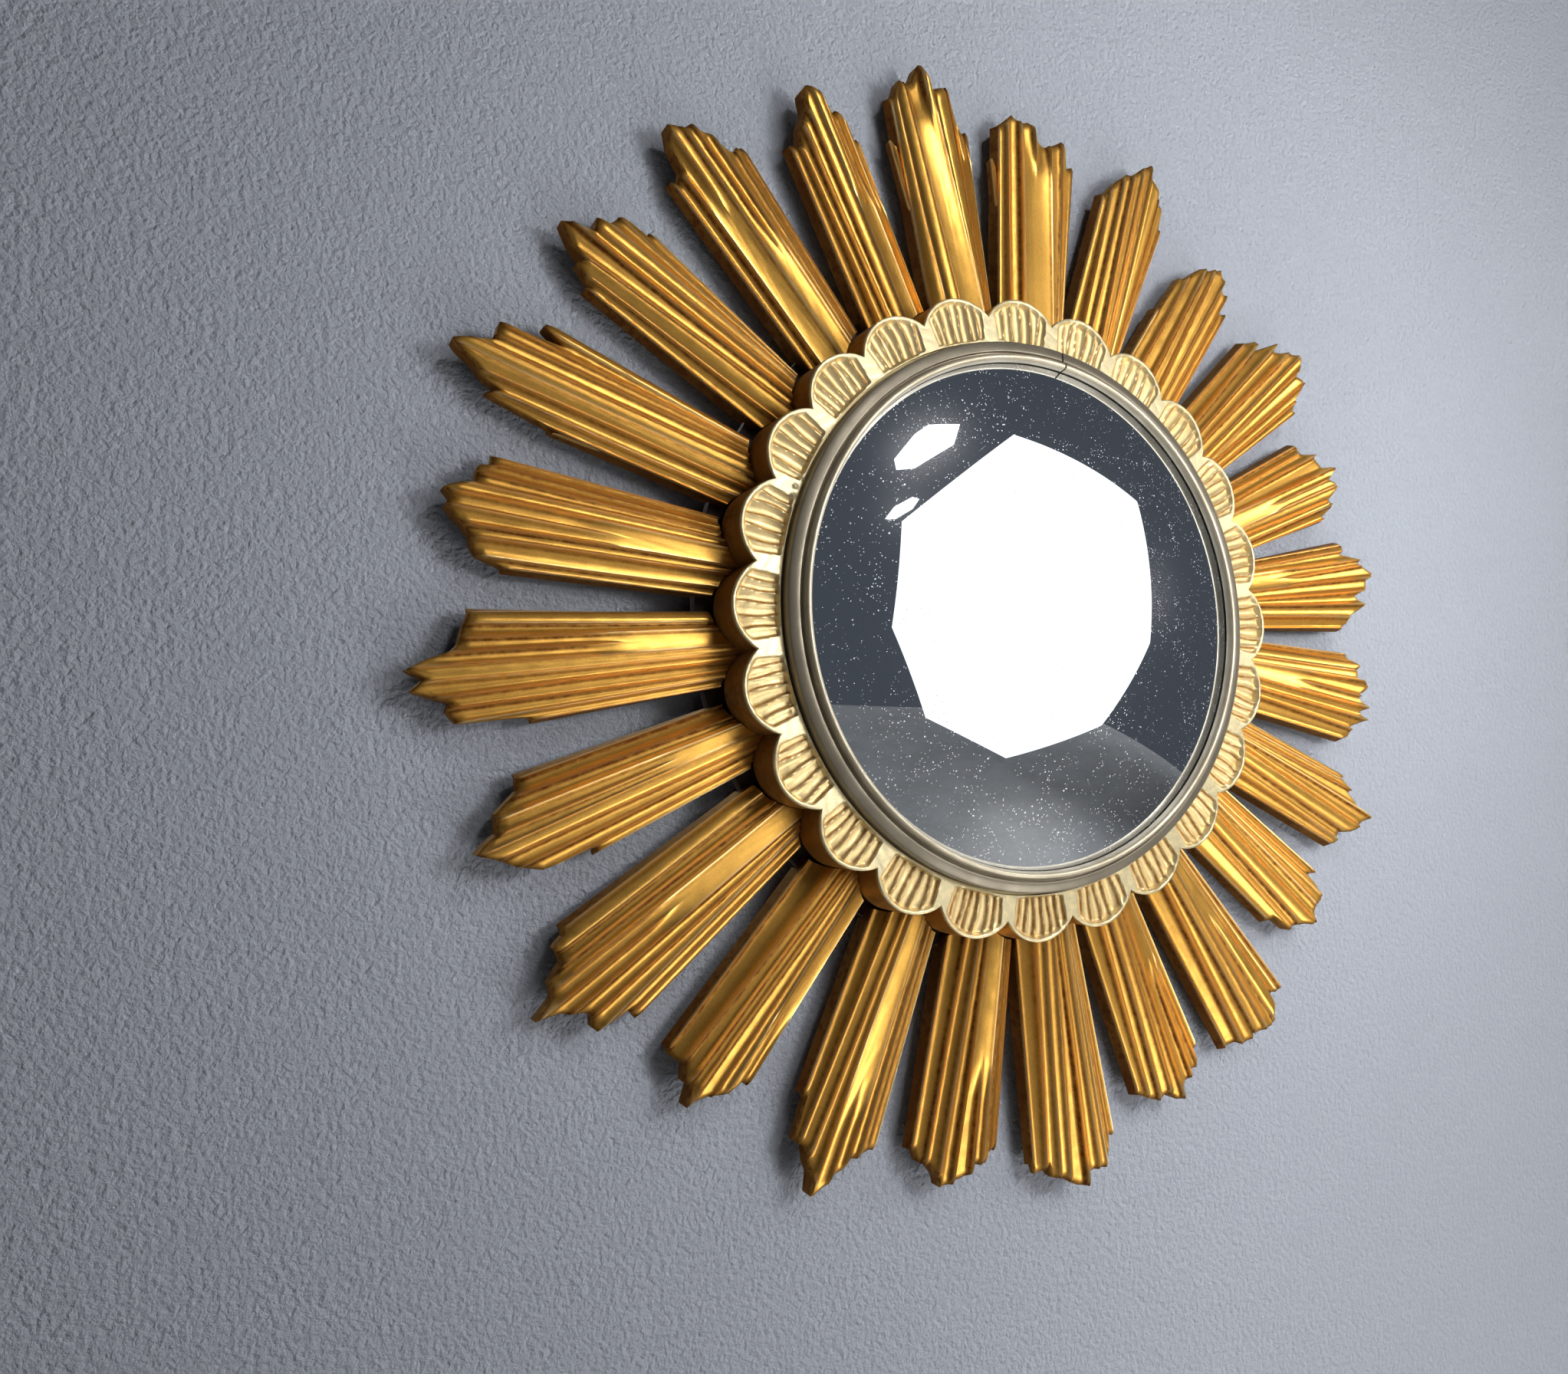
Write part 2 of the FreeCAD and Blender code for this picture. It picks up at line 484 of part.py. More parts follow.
def turn(body, name, sketch, kind="Revolution", axis="V_Axis", angle=FULL_TURN):
    """A turned feature about the sketch's vertical axis, or about its construction line."""
    return add_feature(body, kind, name, sketch, ReferenceAxis=(sketch, [axis]), Angle=angle)


def repeat_round(body, name, features, count):
    """Repeat features evenly round the body's Y axis."""
    pattern = body.newObject("PartDesign::PolarPattern", f"{body.Name}_{name}")
    pattern.Originals = features
    axis = [feature for feature in body.Origin.OriginFeatures if feature.Role == "Y_Axis"][0]
    pattern.Axis = (axis, [""])
    pattern.Angle = FULL_TURN
    pattern.Occurrences = count
    body.Tip = pattern
    return pattern


def turned_ring(name, inner, outer, back, front):
    """A plain flat ring round the Y axis."""
    body = start_body(name)
    sketch = start_sketch(body, "section", "XY_Plane")
    draw_outline(sketch, ((inner, -back), (outer, -back), (outer, -front), (inner, -front)))
    turn(body, "ring", sketch)
    return body


def stretch(pair, station):
    """A crest's sideways share at a radius share, from its shares at the two stations."""
    root, tip = pair
    return root + (tip - root) * (station - ROOT_STATION_SHARE) / (TIP_STATION_SHARE - ROOT_STATION_SHARE)


def draw_ray_section(sketch, crests, station, drop, flare):
    """A ray's cross-section: flat back, plain sides, and a hollow flute between each two crests."""
    shares = [stretch(crest, station) for crest in crests]
    middle = (shares[0] + shares[-1]) * HALF
    half_width = (shares[-1] - shares[0]) * HALF
    points = []
    rounds = {}
    for index, share in enumerate(shares):
        fall = ((share - middle) / half_width) ** 2
        points.append((NOTCH_RADIUS * share, drop + cell("ray_dome") * fall - RIM_DEPTH))
        if index < len(shares) - 1:
            rounds[index] = NOTCH_RADIUS * ((shares[index + 1] - share) * FLUTE_ROUND_SHARE)
    points.append((NOTCH_RADIUS * shares[-1] + flare, -RAY_BACK))
    points.append((NOTCH_RADIUS * shares[0] - flare, -RAY_BACK))
    draw_outline(sketch, points, rounds)


def petal_point(radius, angle):
    """A point at a radius, at an angle clockwise from the sketch's vertical."""
    return radius * math.sin(math.radians(angle)), radius * math.cos(math.radians(angle))


def draw_ray_root(sketch):
    """What a ray's root loses so that it meets the scalloped wall of the collar."""
    gap = cell("fit_gap")
    across, up = petal_point(NOTCH_RADIUS * PETAL_TIP_SHARE + gap, HALF_PITCH)
    far = NOTCH_RADIUS * SIDE_CLEAR_SHARE
    low = NOTCH_RADIUS * ROOT_CLEAR_SHARE
    notch = NOTCH_RADIUS + gap * NOTCH_GAP_SHARE
    rim = NOTCH_RADIUS * RIM_RADIUS_SHARE + gap
    points = ((-far, low), (-far, up), (-across, up), (NOTHING, notch), (across, up), (far, up), (far, low))
    draw_outline(sketch, points, {2: rim, 3: rim})


def draw_ray_tip(sketch, outline):
    """What a ray loses beyond its ragged tip."""
    far = NOTCH_RADIUS * SIDE_CLEAR_SHARE
    top = NOTCH_RADIUS * TIP_CLEAR_SHARE
    points = [(NOTCH_RADIUS * across, NOTCH_RADIUS * out) for across, out in outline]
    corners = [(far, points[-1][1]), (far, top), (-far, top), (-far, points[0][1])]
    draw_outline(sketch, points + corners)


def make_ray(number, crests, outline):
    """One ray: reeds between a root section and a wider tip section, cut to its tip and to the collar,
    rebated over the edge of the hub, with a tongue that lies between the hub and the collar."""
    body = start_body(f"ray_{number:02d}")
    root = start_sketch(body, "root", "XY_Plane", NOTCH_RADIUS * ROOT_PLANE_SHARE)
    draw_ray_section(root, crests, ROOT_PLANE_SHARE, cell("ray_root_drop"), NOTHING)
    tip = start_sketch(body, "tip", "XY_Plane", NOTCH_RADIUS * TIP_PLANE_SHARE)
    draw_ray_section(tip, crests, TIP_PLANE_SHARE, cell("ray_tip_drop"), cell("ray_side_flare"))
    add_feature(body, "AdditiveLoft", "reeds", root, Sections=[tip], Ruled=True)
    ends = start_sketch(body, "ends", "XZ_Plane")
    draw_ray_tip(ends, outline)
    draw_ray_root(ends)
    cut_through(body, "cut", ends)
    seat = start_sketch(body, "seat", "XZ_Plane")
    far = NOTCH_RADIUS * SIDE_CLEAR_SHARE
    low = NOTCH_RADIUS * ROOT_CLEAR_SHARE
    edge = cell("hub_radius") + cell("fit_gap")
    draw_outline(seat, ((-far, low), (far, low), (far, edge), (-far, edge)))
    rebate = add_feature(body, "Pocket", "rebated", seat, Reversed=True)
    bind(rebate, "Length", HUB_FRONT)
    tongue = start_sketch(body, "tongue", "XZ_Plane", HUB_FRONT)
    side = cell("tongue_width") * HALF
    inner = NOTCH_RADIUS - cell("tongue_cover")
    outer = NOTCH_RADIUS + cell("tongue_hold")
    draw_outline(tongue, ((-side, inner), (side, inner), (side, outer), (-side, outer)))
    pad(body, "let_in", tongue, cell("tongue_thick"))
    angle = (number - 1) * RAY_PITCH - HALF_PITCH
    body.Placement = FreeCAD.Placement(ORIGIN, FreeCAD.Rotation(Y_AXIS, angle))
    return body


def draw_notch(sketch):
    """What the collar loses between two petals."""
    across, up = petal_point(NOTCH_RADIUS * PETAL_TIP_SHARE, HALF_PITCH)
    top = NOTCH_RADIUS * NOTCH_CLEAR_SHARE
    rim = NOTCH_RADIUS * RIM_RADIUS_SHARE
    points = ((-across, up), (NOTHING, NOTCH_RADIUS), (across, up), (across, top), (-across, top))
    draw_outline(sketch, points, {0: rim, 1: rim})


def draw_petal_flutes(sketch, half_width):
    """The row of hollow flutes across one petal, as seen along it, open at the collar's top."""
    crest = cell("flute_sink") - RIM_DEPTH
    points = [(half_width * edge, crest) for edge in FLUTE_EDGES]
    rounds = {}
    for index, (left, right) in enumerate(zip(FLUTE_EDGES, FLUTE_EDGES[1:])):
        rounds[index] = half_width * ((right - left) * PETAL_ROUND_SHARE)
    clear = -RIM_DEPTH - cell("rim_round")
    draw_outline(sketch, points + [(half_width, clear), (-half_width, clear)], rounds)


def draw_screw(sketch, across, radius, head, back, length):
    """Half the outline of a countersunk screw whose head lies flush at its back."""
    neck = back + head - radius
    tip = back + length
    side = across + radius
    points = ((across, -back), (across + head, -back), (side, -neck), (side, -tip), (across, -tip))
    draw_outline(sketch, points)
    draw_axis(sketch, across, length)


def cut_screw_holes(body):
    """The ring of countersunk holes for the collar screws."""
    sketch = start_sketch(body, "hole", "XY_Plane")
    gap = cell("screw_gap")
    draw_screw(sketch, cell("screw_circle"), HOLE_RADIUS, SINK_RADIUS, HUB_BACK, cell("screw_length") + gap)
    hole = turn(body, "drilling", sketch, kind="Groove", axis="Axis0")
    doc.recompute()
    repeat_round(body, "drillings", [hole], SCREW_COUNT)


def make_collar():
    """The collar: a turned ring with a foot on the hub, cut into fluted petals."""
    body = start_body("petal_collar")
    profile = start_sketch(body, "section", "XY_Plane")
    bore = cell("collar_bore")
    foot = bore + cell("foot_width")
    outer = NOTCH_RADIUS * PETAL_TIP_SHARE
    soft = cell("rim_round")
    rebate = cell("rebate_radius")
    points = (
        (bore, -HUB_FRONT), (foot, -HUB_FRONT), (foot, -COLLAR_BACK), (outer, -COLLAR_BACK),
        (outer, soft - RIM_DEPTH), (outer - soft, -RIM_DEPTH), (rebate, -RIM_DEPTH), (rebate, -REBATE_FLOOR),
        (bore, -REBATE_FLOOR),
    )
    draw_outline(profile, points, {4: soft})
    turn(body, "turned", profile)
    notch = start_sketch(body, "notch", "XZ_Plane")
    notch.AttachmentOffset = FreeCAD.Placement(ORIGIN, FreeCAD.Rotation(Z_AXIS, HALF_PITCH))
    draw_notch(notch)
    notch_cut = cut_through(body, "notched", notch)
    inner = start_sketch(body, "flutes_inner", "XY_Plane", NOTCH_RADIUS * FLUTE_INNER_SHARE)
    draw_petal_flutes(inner, NOTCH_RADIUS * FLUTED_INNER_SHARE)
    beyond = start_sketch(body, "flutes_outer", "XY_Plane", NOTCH_RADIUS * FLUTE_OUTER_SHARE)
    draw_petal_flutes(beyond, NOTCH_RADIUS * FLUTED_OUTER_SHARE)
    flute_cut = add_feature(body, "SubtractiveLoft", "fluted", inner, Sections=[beyond], Ruled=True)
    doc.recompute()
    repeat_round(body, "petals", [notch_cut, flute_cut], len(RAY_SHARES))
    doc.recompute()
    cut_screw_holes(body)
    return body


def draw_pin_holes(body):
    """The two holes of the strap screws."""
    sketch = start_sketch(body, "pin_holes", "XZ_Plane")
    first = cell("pivot_height") - cell("pin_first")
    for place in (first, first - cell("pin_pitch")):
        draw_circle(sketch, NOTHING, place, PIN_HOLE)
    return sketch


def make_hub():
    """The hub board behind the rays, with the holes of the collar screws and the strap screws."""
    body = turned_ring("hub_ring", cell("hub_bore"), cell("hub_radius"), HUB_BACK, HUB_FRONT)
    doc.recompute()
    cut_screw_holes(body)
    cut_through(body, "strap_holes", draw_pin_holes(body))
    return body


def make_bezel():
    """The bezel: a strip bent to a ring, with a flange and a bead, whose ends meet at a butt joint."""
    body = start_body("bezel_ring")
    profile = start_sketch(body, "section", "XY_Plane")
    bead_outer = BEZEL_BORE
    bead_inner = cell("collar_bore") - cell("bead_lip")
    shoulder = bead_inner + cell("bead_width")
    outer = cell("bezel_radius")
    points = (
        (bead_outer, -REBATE_FLOOR), (outer, -REBATE_FLOOR), (outer, -FLANGE_EDGE),
        (shoulder + cell("flange_rise"), -FLANGE_TOP), (shoulder, -FLANGE_EDGE), (shoulder, -BEAD_TOP),
        (bead_inner, -BEAD_TOP), (bead_inner, -FLANGE_EDGE - cell("fit_gap")), (bead_outer, -LIP_BACK),
    )
    draw_outline(profile, points, {5: cell("bead_width") * BEAD_ROUND_SHARE})
    turn(body, "bent", profile, angle=FULL_TURN - VALUES["bezel_joint_gap"])
    body.Placement = FreeCAD.Placement(ORIGIN, FreeCAD.Rotation(Y_AXIS, BEZEL_JOINT_ANGLE - QUARTER_TURN))
    return body


def make_glass():
    """The convex mirror glass, of even thickness."""
    body = start_body("mirror_glass")
    profile = start_sketch(body, "section", "XY_Plane")
    edge = FITTED_RADIUS
    rise = cell("glass_rise")
    reach = (edge.value ** 2 + rise.value ** 2) / (rise.value + rise.value)
    bulge = Length({"glass_rise": reach / rise.value})
    apex = ((NOTHING, -GLASS_BACK - rise), (NOTHING, -GLASS_EDGE - rise))
    points = (*apex, (edge, -GLASS_EDGE), (edge, -GLASS_BACK))
    draw_outline(profile, points, {1: -bulge, 3: bulge})
    turn(body, "blown", profile)
    return body


def make_bumper(number):
    """One round bumper between the hub and the wall."""
    bumper = doc.addObject("Part::Cylinder", f"wall_bumper_{number}")
    bumper.Label = f"wall_bumper_{number}"
    bind(bumper, "Radius", cell("bumper_radius"))
    bind(bumper, "Height", cell("bumper_thick"))
    angle = FULL_TURN / BUMPER_COUNT * (number - HALF)
    across, up = petal_point(VALUES["bumper_circle"], angle)
    upright = FreeCAD.Rotation(X_AXIS, QUARTER_TURN)
    bumper.Placement = FreeCAD.Placement(FreeCAD.Vector(across, 0, up), upright)
    return bumper


def make_collar_screw(number):
    """One of the screws that go through the hub into the collar's foot."""
    body = start_body(f"collar_screw_{number}")
    sketch = start_sketch(body, "section", "XY_Plane")
    radius = cell("screw_radius")
    draw_screw(sketch, cell("screw_circle"), radius, cell("screw_head"), HUB_BACK, cell("screw_length"))
    turn(body, "screw", sketch, axis="Axis0")
    angle = FULL_TURN / SCREW_COUNT * (number - 1)
    body.Placement = FreeCAD.Placement(ORIGIN, FreeCAD.Rotation(Y_AXIS, angle))
    return body


def make_strap():
    """The hanger strap: a flat plate with two holes, curled round the ring's bar at its top."""
    body = start_body("hanger_strap")
    height = cell("pivot_height")
    curl = start_sketch(body, "curl", "YZ_Plane")
    draw_circle(curl, -PIVOT_DEPTH, height, CURL_RADIUS)
    draw_circle(curl, -PIVOT_DEPTH, height, CURL_BORE)
    pad(body, "curled", curl, cell("strap_width"), Midplane=True)
    plate = start_sketch(body, "plate", "YZ_Plane")
    low = height - cell("strap_length")
    points = ((-HUB_BACK, low), (-STRAP_BACK, low), (-STRAP_BACK, height - CURL_BORE), (-HUB_BACK, height))
    draw_outline(plate, points)
    pad(body, "flat", plate, cell("strap_width"), Midplane=True)
    cut_through(body, "drilled", draw_pin_holes(body))
    return body


def make_strap_screw(number):
    """One of the two round-headed screws that hold the strap to the hub."""
    body = start_body(f"hanger_screw_{number}")
    sketch = start_sketch(body, "section", "XY_Plane")
    back = STRAP_BACK - cell("pin_head_thick")
    tip = STRAP_BACK + cell("pin_length")
    points = (
        (NOTHING, -back), (cell("pin_head") * HALF, -back), (cell("pin_head"), -STRAP_BACK),
        (cell("pin_radius"), -STRAP_BACK), (cell("pin_radius"), -tip), (NOTHING, -tip),
    )
    draw_outline(sketch, points)
    turn(body, "screw", sketch)
    place = VALUES["pivot_height"] - VALUES["pin_first"] - VALUES["pin_pitch"] * (number - 1)
    body.Placement = FreeCAD.Placement(FreeCAD.Vector(0, 0, place), FreeCAD.Rotation())
    return body


def make_ring():
    """The hanging ring: wire bent to a D, its straight bar in the strap's curl."""
    body = start_body("hanger_ring")
    corner = cell("ring_corner")
    bar = cell("strap_width") * HALF + cell("fit_gap")
    side = bar + corner
    low = corner + cell("ring_side")
    path = start_sketch(body, "path", "XZ_Plane")
    points = (
        (-bar, NOTHING), (bar, NOTHING), (side, -corner), (side, -low), (NOTHING, -low - side), (-side, -low),
        (-side, -corner),
    )
    draw_outline(path, points, {1: corner, 3: side, 4: side, 6: corner})
    wire = start_sketch(body, "wire", "YZ_Plane")
    draw_circle(wire, NOTHING, NOTHING, cell("wire_radius"))
    pipe = add_feature(body, "AdditivePipe", "bent", wire)
    pipe.Spine = path
    pivot = FreeCAD.Vector(0, -PIVOT_DEPTH.value, VALUES["pivot_height"])
    body.Placement = FreeCAD.Placement(pivot, FreeCAD.Rotation(X_AXIS, VALUES["ring_rest_tilt"]))
    return body


def make_all():
    """Every piece of the mirror."""
    pieces = [make_ray(number, *ray) for number, ray in enumerate(RAY_SHARES, start=1)]
    pieces.append(make_hub())
    pieces.append(make_collar())
    pieces.append(make_bezel())
    pieces.append(make_glass())
    felt_bore = FITTED_RADIUS - cell("felt_width")
    pieces.append(turned_ring("glass_felt", felt_bore, FITTED_RADIUS, BOARD_FRONT, GLASS_BACK))
    pieces.append(turned_ring("backing_board", NOTHING, FITTED_RADIUS, BOARD_BACK, BOARD_FRONT))
    packing_bore = FITTED_RADIUS - cell("packing_width")
    pieces.append(turned_ring("packing_ring", packing_bore, FITTED_RADIUS, HUB_FRONT, BOARD_BACK))
    pieces.extend(make_bumper(number + 1) for number in range(BUMPER_COUNT))
    pieces.extend(make_collar_screw(number + 1) for number in range(SCREW_COUNT))
    pieces.append(make_strap())
    pieces.extend(make_strap_screw(number) for number in (1, 2))
    pieces.append(make_ring())
    return pieces


def check_all(pieces):
    """Stop if any object failed or any piece isn't one valid solid."""
    for thing in doc.Objects:
        if "Invalid" in thing.State or "Error" in thing.State:
            raise RuntimeError(f"{thing.Name} failed: {thing.State}")
    for piece in pieces:
        shape = piece.Shape
        if shape.isNull() or not shape.isValid() or len(shape.Solids) != 1 or shape.Volume < 0:
            raise RuntimeError(f"{piece.Label} isn't one valid solid")


make_sheet()
pieces = make_all()
doc.recompute()
check_all(pieces)
os.makedirs("parts", exist_ok=True)
for piece in pieces:
    piece.Shape.exportStep(os.path.join("parts", f"{piece.Label}.step"))
    print(piece.Label, round(piece.Shape.Volume), "mm3")
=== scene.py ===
"""The looks of a sunburst wall mirror: carved gilt rays, a fluted petal collar, a stepped metal bezel and a
convex mirror glass, built round its CAD frame."""
import math

import bpy
import numpy as np
from mathutils import Matrix, Vector


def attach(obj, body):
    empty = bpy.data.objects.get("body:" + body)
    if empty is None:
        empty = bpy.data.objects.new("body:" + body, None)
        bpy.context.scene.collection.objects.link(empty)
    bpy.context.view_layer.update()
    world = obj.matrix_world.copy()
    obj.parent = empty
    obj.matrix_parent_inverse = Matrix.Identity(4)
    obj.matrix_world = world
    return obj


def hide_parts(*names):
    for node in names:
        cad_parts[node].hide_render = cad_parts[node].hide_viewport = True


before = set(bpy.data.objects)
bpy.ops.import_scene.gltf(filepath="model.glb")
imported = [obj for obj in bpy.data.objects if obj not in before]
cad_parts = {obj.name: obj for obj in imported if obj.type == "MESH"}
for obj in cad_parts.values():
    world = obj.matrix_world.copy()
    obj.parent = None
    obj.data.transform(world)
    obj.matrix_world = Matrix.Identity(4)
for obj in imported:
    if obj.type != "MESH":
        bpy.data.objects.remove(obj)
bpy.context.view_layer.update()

bl_info = {
    "name": "Sunburst mirror",
    "version": (1, 0, 0),
    "blender": (4, 5, 0),
    "location": "View3D > Sidebar > Mirror",
    "description": "Builds the visible pieces of a sunburst wall mirror round its CAD frame",
    "category": "Object",
}

BODY = "mirror"

# Sizes that the CAD part shares, in metres. Depths are distances off the wall, along -Y.
NOTCH_RADIUS = 0.170
RIM_DEPTH = 0.048
HUB_FRONT = 0.012
RAY_BACK = 0.008
HUB_RADIUS = 0.188
COLLAR_BACK = 0.022
REBATE_RADIUS = 0.1554
ROOT_DROP = 0.0194
TIP_DROP = 0.0264
RAY_DOME = 0.0076
SIDE_FLARE = 0.003
GLASS_RADIUS = 0.1457
GLASS_EDGE_DEPTH = 0.0519
GLASS_RISE = 0.0276
GLASS_THICK = 0.003
FIT_GAP = 0.0003

# Places along a ray and on a petal, as shares of the notch radius.
ROOT_PLANE_SHARE = 0.98
TIP_PLANE_SHARE = 2.03
ROOT_STATION_SHARE = 1.2
TIP_STATION_SHARE = 1.7
PETAL_TIP_SHARE = 1.068
RIM_CENTRE_SHARE = 0.9186
RIM_RADIUS_SHARE = 0.1494

# The carving of the rays, in metres where it isn't a share: the flutes' depth, the rounding of the ragged tips, the
# brown band of painted shade beside a crest, the worn line on it that is also a painted highlight, the mesh's
# columns, the tool marks, the share of flutes that are round reeds instead, and the direction, right and up, that the
# lit sides of the crests face, towards the light; the painted shade band lies on the far side. The crests sway by a
# share of the notch radius.
FLUTE_SHARE = 0.34
FLUTE_LIMIT = 0.0044
TIP_FALL = 0.0022
TIP_REACH = 0.0045
BAND_PLACE = 0.0015
BAND_WIDTH = 0.0011
WORN_WIDTH = 0.0005
COLUMN_WIDTH = 0.0028
CREST_SWAY = 0.0022
TOOL_MARK = 0.00012
ROUND_CHANCE = 0.12
CLEAN_SIDE = (0.5, 0.87)
RAY_SEED, TOOL_SEED, PETAL_SEED, DENT_SEED = 700, 40, 90, 5

# The carving of the petals, in metres where it isn't a share: the scoop of the whole petal, its flutes' depth, the
# beads, the brown line in a flute and the ribs between the flutes.
PETAL_SCOOP = 0.0014
PETAL_FLUTE_SHARE = 0.28
BEAD_HEIGHT = 0.0011
BEAD_WIDTH = 0.0012
WASH_PLACE = 0.0010
WASH_WIDTH = 0.0007
RIB_WIDTH = 0.00034

